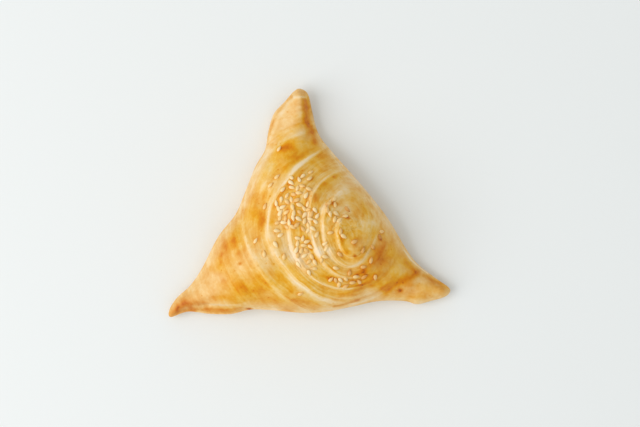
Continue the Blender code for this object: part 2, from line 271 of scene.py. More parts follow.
@dataclass(frozen=True)
class LayerPlace:
    """Where points lie in the rolled layers.

    Attributes:
        layer: How many windings lie inside each point.
        turn: Share of a whole turn, anticlockwise from +X.
        share: Share of the way from the winding inside the point to the one outside it.
        gap: Distance between those two windings, in metres.
    """

    layer: NDArray[np.int64]
    turn: Floats
    share: Floats
    gap: Floats

    @cached_property
    def past_edge(self) -> Floats:
        """Distance outwards from the nearest winding, in metres, and less than 0 inside it."""
        return np.where(self.share < 0.5, self.share, self.share - 1) * self.gap

    @cached_property
    def unrolled(self) -> Floats:
        """Places along and across the layers, laid out flat, in metres."""
        return np.stack([(self.layer + self.turn) * LAID_TURN, self.share * LAID_WIDTH], 1)


@dataclass(frozen=True)
class LayerSpiral:
    """The dough's rolled layers, wound round an eye.

    Turns give the winding's distance from the eye in mm at each eighth of a turn, and paleness says there how
    bare and pale the layer's edge is, from 0 to 1. Each wander is a height and a size, which make it uneven.
    """

    eye: Pair = (18.7, -11.6)
    turns: Rows = (
        (3.5, 4.5, 5.5, 6.0, 6.3, 8.0, 12.5, 10.5),
        (10.0, 13.0, 18.0, 15.0, 12.4, 14.1, 16.9, 12.9),
        (13.5, 19.0, 26.0, 23.7, 18.1, 19.2, 22.6, 20.0),
        (18.0, 23.0, 32.0, 30.0, 28.4, 28.2, 27.6, 25.0),
        (24.0, 29.0, 38.6, 36.9, 38.0, 33.9, 34.4, 31.5),
        (29.5, 36.0, 45.8, 51.0, 49.0, 43.4, 41.6, 39.5),
        (37.5, 45.0, 57.0, 62.5, 61.0, 57.5, 53.5, 50.0),
    )
    paleness: Rows = (
        (0.1, 0.1, 0.1, 0.2, 0.5, 0.8, 0.25, 0.2),
        (0.2, 0.1, 0.2, 0.7, 0.9, 1.0, 0.7, 0.9),
        (0.1, 0.1, 0.2, 0.9, 0.9, 1.0, 0.5, 0.2),
        (0.0, 0.1, 0.2, 0.4, 0.6, 0.9, 0.5, 0.2),
        (0.0, 0.0, 0.5, 1.0, 0.9, 1.0, 0.6, 0.15),
        (0.0, 0.0, 0.3, 0.3, 0.1, 0.1, 0.3, 0.2),
        (0.0, 0.0, 0.1, 0.2, 0.1, 0.1, 0.1, 0.0),
    )
    plainness: float = 0.85
    plain_towards: float = -0.06
    plain_width: float = 0.13
    plain_beyond: float = 16 * MM
    eye_wrinkles: float = 0.3
    eye_reach: float = 20 * MM
    eighths: int = 8
    step: float = 1.7 * MM
    riser: float = 2.4 * MM
    riser_share: float = 0.6
    clear_of_rim: float = 7.0 * MM
    full_gap: float = 8.0 * MM
    wander: tuple[Pair, ...] = ((0.6 * MM, 21 * MM), (0.45 * MM, 8 * MM), (0.2 * MM, 3.2 * MM))
    wander_from: float = 12 * MM
    band_inside: float = 1.6 * MM
    band_crispness: float = 1.2 * MM
    band_outside: float = 0.75 * MM
    band_widths: Pair = (0.7, 1.6)
    narrowest_band: float = 0.35
    lip_place: float = -2.0 * MM
    lip_width: float = 1.0 * MM

    def radius(self, way: Floats) -> Floats:
        """Follow the winding round its eye.

        Args:
            way: How many turns round the eye.

        Returns:
            The winding's distance from the eye, in metres.
        """
        distances = np.ravel(self.turns) * MM
        eighth = np.maximum(way, 0) * self.eighths
        index = eighth.astype(int)
        corners = [np.clip(index + step, 0, len(distances) - 1) for step in (-1, 0, 1, 2)]
        return curve_through(*(distances[corner] for corner in corners), eighth % 1.0)

    def reach(self, points: Floats) -> Floats:
        """Measure how far points lie from the eye, with the wander that makes the windings uneven.

        Args:
            points: Places seen from above.

        Returns:
            The distance of each, in metres.
        """
        distance = distance_to(points, self.eye)
        uneven = sum(high * lumps(points, size, Draw.WINDINGS) for high, size in self.wander)
        return np.maximum(distance + uneven * smooth(distance / self.wander_from), 0)

    def place(self, points: Floats) -> LayerPlace:
        """Find where points lie in the rolled layers.

        Args:
            points: Places seen from above.

        Returns:
            Their places in the layers.
        """
        offset = points - np.array(self.eye) * MM
        distance = self.reach(points)
        turn = (np.arctan2(offset[:, 1], offset[:, 0]) / (2 * math.pi)) % 1.0
        windings = [np.zeros(len(points))]
        windings += [self.radius(number + turn) for number in range(len(self.turns))]
        windings = np.stack(windings, 1)
        layer = np.clip((distance[:, None] >= windings).sum(1) - 1, 0, len(self.turns) - 1)
        rows = np.arange(len(points))
        inner, outer = windings[rows, layer], windings[rows, layer + 1]
        return LayerPlace(layer, turn, (distance - inner) / (outer - inner), outer - inner)

    def steps(self, points: Floats, depth: Floats, strength: Floats) -> Floats:
        """Raise terraces where the layers overlap, each outer edge above the next layer.

        Args:
            points: Places seen from above.
            depth: How deep inside the pastry's edge they lie.
            strength: Share of the full step there.

        Returns:
            The height to add, in metres.
        """
        place = self.place(points)
        share = np.clip(place.share, 0, 1)
        from_edge = np.where(share < 0.5, share, share - 1) * place.gap
        riser = np.minimum(self.riser, self.riser_share * place.gap)
        down_riser = -0.5 * np.sin(math.pi * np.clip(from_edge / riser, -0.5, 0.5)) * (1 - riser / place.gap)
        height = np.where(np.abs(from_edge) < riser / 2, down_riser, share - 0.5)
        full = smooth(depth / self.clear_of_rim) * np.minimum(1, place.gap / self.full_gap)
        return self.step * height * full * strength

    def edge_paleness(self, place: LayerPlace) -> tuple[Floats, Floats]:
        """Say how pale each point is as the bare edge of a layer, and how much it is a browned lip above one.

        Args:
            place: Where the points lie in the layers.

        Returns:
            The paleness and the browned lip, each from 0 to 1.
        """
        bareness = np.ravel(self.paleness)
        last = len(bareness) - 1
        narrow = np.clip(place.gap / self.full_gap, self.narrowest_band, 1.0)
        pale = np.zeros(len(place.share))
        lip = np.zeros(len(place.share))
        for windings_out in (0, 1):
            past = (place.share - windings_out) * place.gap / narrow
            eighth = (place.layer - 1 + windings_out + place.turn) * self.eighths
            bare = np.interp(eighth, np.arange(last + 1), bareness) * (eighth >= 0)
            outside = self.band_outside * blend(*self.band_widths, bare)
            crisp = smooth((past + self.band_inside) / self.band_crispness)
            pale = np.maximum(pale, bare * crisp * bell(np.maximum(past, 0), outside))
            lip = np.maximum(lip, bare * bell(past - self.lip_place, self.lip_width))
        return pale, lip

    def showing(self, points: Floats) -> Floats:
        """Say how plainly the layers show, which they hardly do on the smooth side of the crust.

        Args:
            points: Places seen from above.

        Returns:
            How plainly they show at each point, from 0 to 1.
        """
        offset = points - np.array(self.eye) * MM
        turn = np.arctan2(offset[:, 1], offset[:, 0]) / (2 * math.pi)
        beyond = smooth(distance_to(points, self.eye) / self.plain_beyond)
        return 1 - self.plainness * bell(np.abs(turn - self.plain_towards), self.plain_width) * beyond

    def wrinkled(self, points: Floats) -> Floats:
        """Say how wrinkled the layers are, from a little in their smooth eye to 1 well away from it."""
        return blend(self.eye_wrinkles, 1, smooth(distance_to(points, self.eye) / self.eye_reach))

    def unroll(self, corners: Floats) -> Floats:
        """Lay triangles out flat along the rolled layers, each whole on the layer that its middle is on.

        Args:
            corners: Three places seen from above for each triangle.

        Returns:
            Where each corner lies along the layers and across them, in metres.
        """
        middles = self.place(corners.mean(1))
        offset = corners - np.array(self.eye) * MM
        turn = np.arctan2(offset[..., 1], offset[..., 0]) / (2 * math.pi)
        turn = middles.turn[:, None] + (turn - middles.turn[:, None] + 0.5) % 1.0 - 0.5
        layer = middles.layer[:, None]
        way = layer + turn
        inner = np.where(layer == 0, 0, self.radius(way - 1))
        gap = np.maximum(self.radius(way) - inner, MM)
        share = (self.reach(corners.reshape(-1, 2)).reshape(-1, 3) - inner) / gap
        return np.stack([way * LAID_TURN, share * LAID_WIDTH + layer * LAID_SHIFT], 2)


@dataclass(frozen=True)
class PastryForm:
    """The form of the whole pastry: the heights of its upper crust, its rim and its folded underside.

    A swelling is a wave: its height in mm, its waves along X and along Y, and where it starts.
    """

    outline: PastryOutline = PastryOutline()
    spiral: LayerSpiral = LayerSpiral()
    horns: tuple[Horn, ...] = (
        Horn((-4.5, 52.5), 4.6, ((-4, 49.5), (-3, 42), (-2.5, 34), (-5, 24)), 3.2, Side.LEFT),
        Horn((64.5, -39.5), 1.6, ((62.5, -40.5), (55, -37), (47.5, -31.5), (38, -24)), 1.6, Side.RIGHT),
        Horn((-64.5, -51.0), 1.0, ((-62.5, -49.5), (-55, -46), (-46, -42), (-34, -36)), 1.3, Side.RIGHT),
    )
    height: float = 35.0 * MM
    body_rim_height: float = 8.0 * MM
    horn_rim_height: float = 2.6 * MM
    undercut: float = 7.0 * MM
    horn_undercut: float = 2.6 * MM
    full_depth: float = 23.0 * MM
    shoulder: float = 2.1
    shoulder_lift: float = 0.72
    sag: float = 0.16
    sag_reach: float = 40.0 * MM
    base_rounding: float = 0.6
    horn_reach: float = 50.0 * MM
    horn_fullness: float = 0.36
    lift_reach: float = 28.0 * MM
    curl: float = 1.5
    crest_steep_width: float = 2.4 * MM
    crest_broad_width: float = 6.5 * MM
    crest_fade: float = 0.5
    crest_clear_of_rim: float = 3.0 * MM
    swellings: Rows = (
        (0.28, 0.11, 0.13, 1.3),
        (0.28, 0.11, -0.13, 0.5),
        (0.33, 0.21, -0.17, 2.1),
        (0.30, 0.37, 0.29, 0.0),
    )
    swellings_clear_of_rim: float = 6.0 * MM
    seam_depth: float = 1.3 * MM
    seam_slope: float = 11.0 * MM
    seam_edge: float = 1.0 * MM
    seam_start: float = 0.06
    seam_fade: float = 0.5
    seam_length: float = 0.9
    flap_fold: Line = ((-52.0, -45.5), (-40.0, -46.5), (-27.0, -48.8))
    flap_drop: float = 1.9 * MM
    flap_starts: float = 0.25
    flap_ends: float = 0.12
    flap_edge: float = 0.8 * MM
    flap_width: float = 6.0 * MM

    def body_share(self, points: Floats) -> Floats:
        """Fade from 1 in the body of the pastry to 0 at each horn's tip."""
        nearest = np.min([distance_to(points, horn.tip) for horn in self.horns], axis=0)
        return smooth(nearest / self.horn_reach)

    def tip_lift(self, points: Floats) -> Floats:
        """Measure how far the horns curl up off the table."""
        nearness = [1 - smooth(distance_to(points, horn.tip) / self.lift_reach) for horn in self.horns]
        return np.sum([horn.lift * MM * near**self.curl for horn, near in zip(self.horns, nearness)], axis=0)

    def horn_crests(self, points: Floats) -> Floats:
        """Raise the ridge that runs down each horn, broad on one side and steep on the other.

        Args:
            points: Places seen from above.

        Returns:
            The height to add, in metres.
        """
        height = np.zeros(len(points))
        for horn in self.horns:
            distance, side, along = beside_line(points, horn.crest)
            steep = side == horn.steep_side.value
            width = np.where(steep, self.crest_steep_width, self.crest_broad_width)
            height += horn.crest_height * MM * bell(distance, width) * (1 - smooth(along)) ** self.crest_fade
        return height

    def broad_swellings(self, points: Floats) -> Floats:
        """Raise the dough's broad dents and swellings, as waves along X and Y.

        Args:
            points: Places seen from above.

        Returns:
            The height to add, in metres.
        """
        x, y = points[:, 0] / MM, points[:, 1] / MM
        return MM * sum(high * np.sin(along_x * x + along_y * y + start)
                        for high, along_x, along_y, start in self.swellings)

    def flap_below_fold(self, points: Floats) -> Floats:
        """Measure how far the lower flap lies below the fold at the left of the front side.

        Args:
            points: Places seen from above.

        Returns:
            The height to take off, in metres.
        """
        distance, side, along = beside_line(points, self.flap_fold)
        ends = smooth(along / self.flap_starts) * smooth((1 - along) / self.flap_ends)
        across = smooth(distance / self.flap_edge) * (1 - smooth(distance / self.flap_width))
        return np.where(side < 0, self.flap_drop * ends * across, 0)

    def rim_height(self, points: Floats) -> Floats:
        """Height of the crust's widest line above the table."""
        height = blend(self.horn_rim_height, self.body_rim_height, self.body_share(points))
        return height + self.tip_lift(points)

    def top_height(self, points: Floats) -> Floats:
        """Measure the height of the upper crust, without its fine relief.

        Args:
            points: Places seen from above.

        Returns:
            The height of each above the table, in metres.
        """
        depth = self.outline.depth(points)
        share = self.body_share(points)
        t = np.clip(depth / self.full_depth, 0, 1)
        dome = (1 - (1 - t) ** self.shoulder) ** self.shoulder_lift
        dome *= 1 - self.sag * smooth(distance_to(points, self.outline.middle) / self.sag_reach)
        dome *= blend(self.horn_fullness, 1, share)
        relief = self.spiral.steps(points, depth, share)
        relief += self.horn_crests(points) * smooth(depth / self.crest_clear_of_rim)
        relief += self.broad_swellings(points) * smooth(depth / self.swellings_clear_of_rim) * share
        full = self.height - self.body_rim_height
        return self.rim_height(points) + full * dome + relief - self.flap_below_fold(points)

    def seam_lines(self) -> list[Line]:
        """The underside's three seams, each from the middle almost to a horn's tip, in mm."""
        length = self.seam_length
        return [(self.outline.middle, (length * horn.tip[0], length * horn.tip[1])) for horn in self.horns]

    def base_height(self, points: Floats) -> Floats:
        """Measure the height of the folded underside: flat on the table, with a step along each flap's edge.

        Args:
            points: Places seen from above.

        Returns:
            The height of each above the table, in metres.
        """
        depth = self.outline.depth(points)
        undercut = blend(self.horn_undercut, self.undercut, self.body_share(points))
        t = np.clip(depth / undercut, 0, 1)
        lift = self.tip_lift(points)
        side_wall = (self.rim_height(points) - lift) * (1 - (1 - (1 - t) ** 2) ** self.base_rounding)
        seams = [np.zeros(len(points))]
        for line in self.seam_lines():
            distance, side, along = beside_line(points, line)
            groove = self.seam_depth * (1 - smooth(distance / self.seam_slope)) * (1 - self.seam_fade * along)
            groove *= smooth(along / self.seam_start)
            seams.append(np.where(side > 0, groove * smooth(distance / self.seam_edge), 0))
        return side_wall + lift + np.max(seams, axis=0) * smooth(depth / self.undercut)


@dataclass(frozen=True)
class CrustRelief:
    """The dough's fine relief: thin leaves at the layers' edges, wrinkles along them, lumps and blisters."""

    form: PastryForm
    leaf_height: float = 0.035 * MM
    leaf_spacing: float = 1.25 * MM
    leaf_reach: float = 2.4 * MM
    leaf_sharpness: float = 0.35
    leaf_wander: float = 0.25 * MM
    leaf_wander_size: float = 7 * MM
    wrinkle_height: float = 0.15 * MM
    wrinkle_size: Pair = (14 * MM, 2.0 * MM)
    fine_wrinkle_height: float = 0.05 * MM
    fine_wrinkle_size: Pair = (6 * MM, 0.8 * MM)
    horn_wrinkles: float = 0.5
    lump_height: float = 0.22 * MM
    lump_size: float = 6.5 * MM
    small_lump_height: float = 0.06 * MM
    small_lump_size: float = 1.7 * MM
    blister_count: int = 60
    blister_radii: Pair = (0.8 * MM, 2.3 * MM)
    blister_height: float = 0.16
    blister_draw: int = 5
    clear_of_rim: float = 4.0 * MM

    def leaves(self, place: LayerPlace) -> Floats:
        """Raise the thin leaves of dough that show side by side along the edge of each rolled layer.

        Args:
            place: Where the points lie in the layers.

        Returns:
            The height to add, in metres.
        """
        past = place.past_edge + self.leaf_wander * lumps(place.unrolled, self.leaf_wander_size, Draw.LEAVES)
        wave = 2 * math.pi * past / self.leaf_spacing
        saw = np.sin(wave) + self.leaf_sharpness * np.sin(2 * wave)
        return self.leaf_height * saw * bell(place.past_edge, self.leaf_reach)

    def wrinkles(self, place: LayerPlace) -> Floats:
        """Raise the wrinkles that run along the rolled layers.

        Args:
            place: Where the points lie in the layers.

        Returns:
            The height to add, in metres.
        """
        broad = lumps(place.unrolled, self.wrinkle_size, Draw.WRINKLES)
        fine = lumps(place.unrolled, self.fine_wrinkle_size, Draw.FINE_WRINKLES)
        return self.wrinkle_height * broad + self.fine_wrinkle_height * fine

    def blisters(self, points: Floats) -> Floats:
        """Raise the small round blisters that steam has lifted in the crust.

        Args:
            points: Places seen from above.

        Returns:
            The height to add, in metres.
        """
        draw = random.Random(self.blister_draw)
        (low_x, low_y), (high_x, high_y) = self.form.outline.curve.min(0), self.form.outline.curve.max(0)
        height = np.zeros(len(points))
        for _ in range(self.blister_count):
            place = (draw.uniform(low_x, high_x) / MM, draw.uniform(low_y, high_y) / MM)
            radius = draw.uniform(*self.blister_radii)
            share = np.clip(distance_to(points, place) / radius, 0, 1)
            height += self.blister_height * radius * (1 - share**2) ** 2
        return height

    def height(self, points: Floats) -> Floats:
        """Add up the fine relief of the upper crust.

        Args:
            points: Places seen from above.

        Returns:
            The height to add to the pastry's form, in metres.
        """
        place = self.form.spiral.place(points)
        body = self.form.body_share(points)
        inside = smooth(self.form.outline.depth(points) / self.clear_of_rim)
        relief = self.leaves(place) * body
        wrinkled = blend(self.horn_wrinkles, 1, body) * self.form.spiral.wrinkled(points)
        relief += self.wrinkles(place) * wrinkled
        relief += self.lump_height * lumps(points, self.lump_size, Draw.LUMPS)
        relief += self.small_lump_height * lumps(points, self.small_lump_size, Draw.SMALL_LUMPS)
        return (relief + self.blisters(points)) * inside


@dataclass(frozen=True)
class Patch:
    """A browned patch of crust in mm and degrees, or a pale one where its strength is below 0.

    Glaze is how much more egg wash it holds than the crust round it, or less where it is below 0.
    """

    x: float
    y: float
    half_length: float
    half_width: float
    turn: float
    strength: float
    glaze: float = 0.0


@dataclass(frozen=True)
class Streak:
    """A browned streak along a line in mm, or a pale one, with its glaze as a patch's. A few carry painted
    light: a painted shadow line under the front edge, and pale rim lines that are partly painted bounce light
    and a painted highlight.
    """

    line: Line
    half_width: float
    strength: float
    glaze: float = 0.0


@dataclass(frozen=True)
class BrowningAndPaintedLight:
    """How dark each place of the crust is, from 0, pale dough, to 1, dark brown: mostly as the oven baked it,
    with painted light added: a paler rim partly for bounce light, painted shade round the seeds, a painted
    shadow line under the front edge and a painted highlight on the right horn's rim.

    Patches and streaks are given as rows of their values.
    """

    form: PastryForm
    plain: float = 0.42
    # Paler crust along the rim: partly less-baked dough, partly painted bounce light from the table.
    edge: float = 0.16
    edge_width: float = 3.5 * MM
    band: float = 0.32
    band_mean: float = 0.85
    band_unevenness: float = 1.1
    band_range: Pair = (0.1, 1.4)
    band_patch: Pair = (11 * MM, 3.5 * MM)
    smear: float = 0.16
    smear_size: Pair = (15 * MM, 3 * MM)
    cloud: float = 0.10
    cloud_size: float = 6 * MM
    lip: float = 0.05
    glazed_share: Pair = (0.25, 0.75)
    glazed_depth: float = 6.0 * MM
    glaze_mean: float = 0.7
    glaze_unevenness: float = 0.5
    glaze_size: float = 9 * MM
    glaze_off_pale: float = 0.4
    ragged: float = 0.6
    ragged_size: float = 2.6 * MM
    # Darker rings round the seeds: egg wash browned there, and painted shade under the seeds.
    seed_stain_and_shade: float = 0.24
    seed_stain_and_shade_reach: float = 1.5 * MM
    seed_mean: float = 0.7
    seed_unevenness: float = 1.6
    seed_most: float = 1.5
    seed_patch: float = 2.4 * MM
    side_wall: float = 0.36
    base: float = 0.62
    base_edge: Pair = (2 * MM, 4 * MM)
    base_seam: float = 0.22
    base_seam_width: float = 2.5 * MM
    base_cloud: float = 0.08
    base_cloud_size: float = 9 * MM
    patches: tuple[Patch, ...] = tuple(Patch(*row) for row in (
        # The top horn and its shoulders.
        (-2.4, 23.6, 11, 6, -12, 0.12, 0.9), (-10, 25.5, 3.4, 2.7, 10, 0.3, 1.2),
        (-4.7, 35.9, 3.2, 1.6, 20, 0.04, 0.5), (-1.4, 44.5, 3.4, 1.5, -80, 0.12, 0.8),
        (-1.5, 38, 2.6, 1.4, -75, -0.06, 0.9), (1.3, 35, 0.9, 0.5, -45, 0.16),
        (-4.3, 50.6, 3.4, 1.5, 0, 0.22), (-8.8, 37.5, 4.5, 9, -15, -0.12, -0.2),
        (0.7, 33.4, 1.2, 1.2, 0, -0.07, -0.1), (-2, 44.4, 1, 1.6, 0, -0.05, 0.1),
        (1.2, 48.1, 2, 1, -60, 0.14, 0.2), (-14.8, 28.3, 2.5, 2, 0, -0.06, -0.4),
        (-5.7, 39.3, 3, 2, 0, 0.07, 0.5), (-2, 26.4, 2.6, 1.7, 0, -0.09, 0.3),
        # The upper half, down to the eye.
        (-9.6, -6, 8, 5, 80, 0.1, 0.1), (-6.2, 20.8, 4.6, 1.7, -12, 0.07, 0.8),
        (5.5, 20.8, 3.8, 2.4, -35, 0.22), (14, 14, 4, 1.3, 12, 0.08), (-23.7, -4.4, 6, 2.6, 80, 0.18, 0.2),
        (-21.3, -7.9, 5, 1.4, 80, 0.24, 0.1), (-20.5, 3.5, 3, 1.2, 80, 0.18, 0.2),
        (-25.6, 2.2, 2.6, 1.8, 70, 0.12, 0.2), (-14.2, 3.5, 1.8, 0.9, 60, 0.18),
        (17.5, -6.9, 1.2, 1, 0, 0.36, -0.2), (11, -0.3, 1.8, 0.8, 0, 0.3, 0.2),
        (9.8, -5.6, 1.5, 0.8, 0, 0.26, 0.3), (24.3, -5.6, 2, 0.9, 90, 0.18),
        (28.5, -6.5, 1.6, 0.8, 90, 0.18), (2.1, 17.2, 2.4, 2, 0, 0.08, 0.3),
        (3.9, -4.2, 1, 0.8, 0, 0.3, 0.2), (-10.1, 14.9, 3, 1.6, 50, 0.16, 0.3), (22.7, 0.9, 5, 7, 20, -0.05),
        (13.3, -5, 3.6, 6, 0, -0.1, -0.1), (-14.5, -3.2, 3, 1.6, 80, 0.14, 0.2),
        (-17.9, 8, 5, 3, 60, -0.12, -0.3), (26, -4, 4.6, 2, -62, 0.16, 0.5),
        (16.2, 8.6, 5, 3, 0, -0.04, -0.2), (-22.9, 9, 4, 2, 65, 0.07, 0.1),
        (7.1, 15.4, 4, 3, 0, -0.07, -0.2), (16.2, 9.5, 5, 3.5, 0, -0.05, -0.2),
        (-16.6, 19.5, 5, 2.5, 55, 0.09, 0.4), (20.4, 8.2, 3, 2, 0, -0.07, -0.3),
        (10.8, 16.3, 3.4, 2, -45, -0.13),
        # The left side.
        (-26.9, -39.9, 13, 5.5, -8, 0.12, 0.3), (-29.4, -8.9, 11, 5, 66, 0.14, 0.1),
        (-35.3, -25.6, 18, 20, 0, 0.02, -0.35), (-36.3, -19.4, 3.7, 3.1, 60, 0.33, 0.3),
        (-32.9, -13.9, 7, 2.4, 78, 0.07, 0.2), (-40.5, -27, 4.4, 1, 84, 0.18, 0.2),
        (-30.3, -38.9, 5, 2.6, -14, 0.24, 0.4), (-41.4, -43, 4, 1.2, 0, 0.12, 0.2),
        (-27.7, -48.6, 1.8, 0.5, -8, 0.75, -0.4), (-31.5, -27.7, 0.8, 0.7, 0, 0.4),
        (-40.1, -49.7, 9, 1.5, 0, 0.08, 0.2), (-22.3, -26.5, 6.5, 4, -50, -0.09, -0.4),
        (-42.8, -36.6, 9, 5, 60, 0.03, -0.1), (-31.5, -32.8, 5, 3, 0, 0.06, 0.1),
        (-26.6, -43.4, 3, 1.4, 0, 0.06, 0.1), (-33.3, -30.5, 4, 3, 30, -0.05, -0.2),
        (-39, -42.5, 4, 2, 0, 0.06, 0.2), (-31.4, -19.6, 4, 2.4, 60, 0.07, 0.1),
        (-38.7, -48.2, 9, 2, 0, 0.02, 0.3), (-39.4, -43.9, 5, 1.3, 0, 0.08, 0.3),
        (-33.7, -25.5, 4, 2.2, 0, 0.08, 0.2), (-22.8, -33.2, 4, 2.6, 0, 0.08, 0.2),
        (-41.2, -33.8, 3.5, 2.5, 0, -0.14, -0.6),
        # The left horn.
        (-50.4, -44.2, 6, 1.8, -5, 0.12), (-45.4, -30.2, 2.2, 1, 75, 0.14, 0.2),
        (-57.1, -46.8, 3.8, 2.8, 15, 0.38, -0.5), (-52.5, -46.2, 4.4, 1.3, 0, 0.2, -0.3),
        (-62.5, -50.3, 4.2, 2.2, 45, 0.5, 0.2), (-59, -44.1, 3, 1.4, 45, 0.09, 0.1),
        (-54.8, -46.8, 2.4, 1.2, 10, -0.09), (-61.8, -50.1, 2, 1.4, 60, -0.05, -0.7),
        (-44.5, -39.8, 4, 3, 30, -0.04, -0.1), (-50.7, -48.3, 3.5, 1.4, 0, 0.16, 0.1),
        (-47.3, -34.4, 3, 3, 0, -0.07, -0.3),
        # Below and right of the eye.
        (32.5, -27.6, 15, 9, -48, 0.15, 0.15), (-2.8, -33.8, 15, 5.5, -38, 0.06, 0.4),
        (-10.3, -36.1, 5, 1.6, -48, 0.16, 0.4), (-19, -36.8, 5, 2.6, -20, 0.02, 0.3),
        (-5.7, -14.8, 12, 11, 0, -0.1, -0.1), (-3.4, -45.2, 4.5, 1.5, -12, 0.22),
        (33, -21.4, 4.2, 3, 70, 0.32, -0.4), (30.5, -27.7, 3.8, 2.6, 60, 0.12, -0.2),
        (36.2, -40, 2.6, 1.2, 40, 0.2, 0.6), (26.2, -33.5, 6, 3, 0, 0.16, 0.2),
        (-16.8, -8.7, 1.8, 1.2, 60, 0.26, 0.4), (20.6, -24.1, 0.9, 0.8, 0, 0.6),
        (32.7, -9.6, 1.6, 0.8, 80, 0.18), (4.9, -32.7, 4.2, 1.8, -25, 0.12, 0.4),
        (-1.5, -35.8, 4.6, 1.8, -42, 0.12, 0.4), (28.7, -41.5, 7, 2.2, 6, -0.12, -0.5),
        (27.1, -9.9, 5, 5, 0, -0.2), (-9.2, -23.4, 6, 3, -50, -0.18, -0.3),
        (-4.2, -24.5, 4, 2.2, -45, -0.14, -0.4), (-2.3, -29.5, 4, 2.2, -40, -0.12, -0.3),
        (0.3, -20, 2.4, 1.6, -60, 0.16, 0.3), (1.7, -15.7, 2.4, 4.2, 10, -0.16, -0.2),
        (3.8, -21.8, 2.4, 3.4, 25, -0.24, -0.4), (-15.5, -29.4, 5, 2.6, -48, 0.06, 0.4),
        (24.2, -31.8, 2.8, 1.1, 10, 0.1, 0.5), (15.9, -18.9, 4.6, 1.4, -68, 0.2, 0.7),
        (5.2, -17.1, 4, 1.2, -78, 0.15, 0.4), (28.9, -14.6, 3.4, 2, -70, 0.06, 0.5),
        (19.3, -12.8, 5, 4, 0, 0.04, 0.5), (0.8, -20.4, 1.6, 1.2, 0, 0.09, 0.1),
        (0.3, -20, 1.4, 1.2, 0, 0.1, 0.1), (31.2, -18.3, 3.4, 2.4, -60, -0.03, -0.2),
        (-15.5, -29.1, 4, 2, -60, -0.03, -0.2), (21.6, -18.6, 2.6, 1.4, 20, -0.06, -0.2),
        (31.2, -18.3, 4, 2.6, -60, 0, -0.2), (5.8, -21.3, 3, 2, 0, 0.04, 0.1),
        (-19.3, -41.5, 3.4, 2.2, 10, -0.09, -0.2), (14, -43.3, 4, 1.2, 15, -0.03, -0.5),
        (-13.7, -36.8, 2.6, 1.4, -50, 0.04, 0.6), (-4.2, -38.6, 3, 1.4, -40, -0.04, -0.3),
        (36.7, -26.5, 2, 1.6, 0, -0.06, -0.3), (18.6, -45.3, 3, 1.2, 10, 0.07),
        (0.3, -20, 1.6, 1.2, 0, 0.09, 0.2), (-21.6, -44.8, 8, 1.6, 0, 0.05, 0.1),
        (24.4, -37.4, 3.5, 1.8, 10, 0.09, 0.1), (33, -22.8, 3.4, 2.2, -70, 0.05),
        (35.5, -10.6, 3, 2, -60, -0.08, -0.3), (-0.1, -19.5, 1.7, 1.3, 0, 0.12, 0.3),
        (-1.5, -29, 2, 1.4, 0, -0.14, -0.3), (26.3, -39.3, 4, 1.6, 0, 0.07), (19.4, -35, 3.5, 2, 0, 0.07),
        (-17.8, -37.3, 3, 1.8, -40, 0.14, 0.5), (-16.4, -14.6, 2.8, 1.8, -70, -0.14, -0.6),
        (-19.1, -19.1, 3.4, 1.1, -75, 0.16, 0.3), (30.3, -17.4, 3, 2.4, 0, -0.08, -0.3),
        (27.1, -22.8, 2.6, 1.8, 40, -0.1, -0.3), (18.4, -31.8, 5, 3, 0, 0.05),
        (13.5, -36.8, 2, 1.6, 0, 0.08), (9.8, -35, 3, 1.8, -20, 0.14, 0.4),
        (1.7, -38.6, 5, 1.8, -20, -0.1, -0.3), (-18.6, -27.2, 4, 1.6, -70, -0.16, -0.3),
        (7.6, -44.3, 4, 1.6, -10, -0.12, -0.4), (14.8, -32.7, 3, 2.4, 0, 0.09),
        (20.8, -40.1, 5, 2.2, 10, 0.07),
        # The right horn.
        (42.1, -23.3, 3.2, 2.2, -50, 0.06, -0.2), (45.2, -27.6, 5, 2, -46, 0.19, 0.8),
        (44.7, -23.8, 4, 1.6, -50, 0.03, 0.1), (55.2, -34.7, 7.5, 1.1, -30, 0.26, 0.2),
        (41.5, -40, 1.2, 1, 0, 0.55, 0.5), (46.9, -34.4, 0.8, 0.7, 0, 0.02),
        (59.5, -39.5, 3.8, 3, -20, 0.12, 0.2), (53.5, -39.2, 6, 3, -15, 0.05, 0.5),
        (40.2, -31.8, 3.6, 2.4, 0, -0.14, 1), (41.3, -27.1, 4, 2.6, -50, -0.06, 0.1),
        (44.7, -28.4, 2.4, 1.6, -45, 0.08, 0.5), (48.4, -43.2, 4.5, 2.2, 0, 0.06, 0.2),
    ))
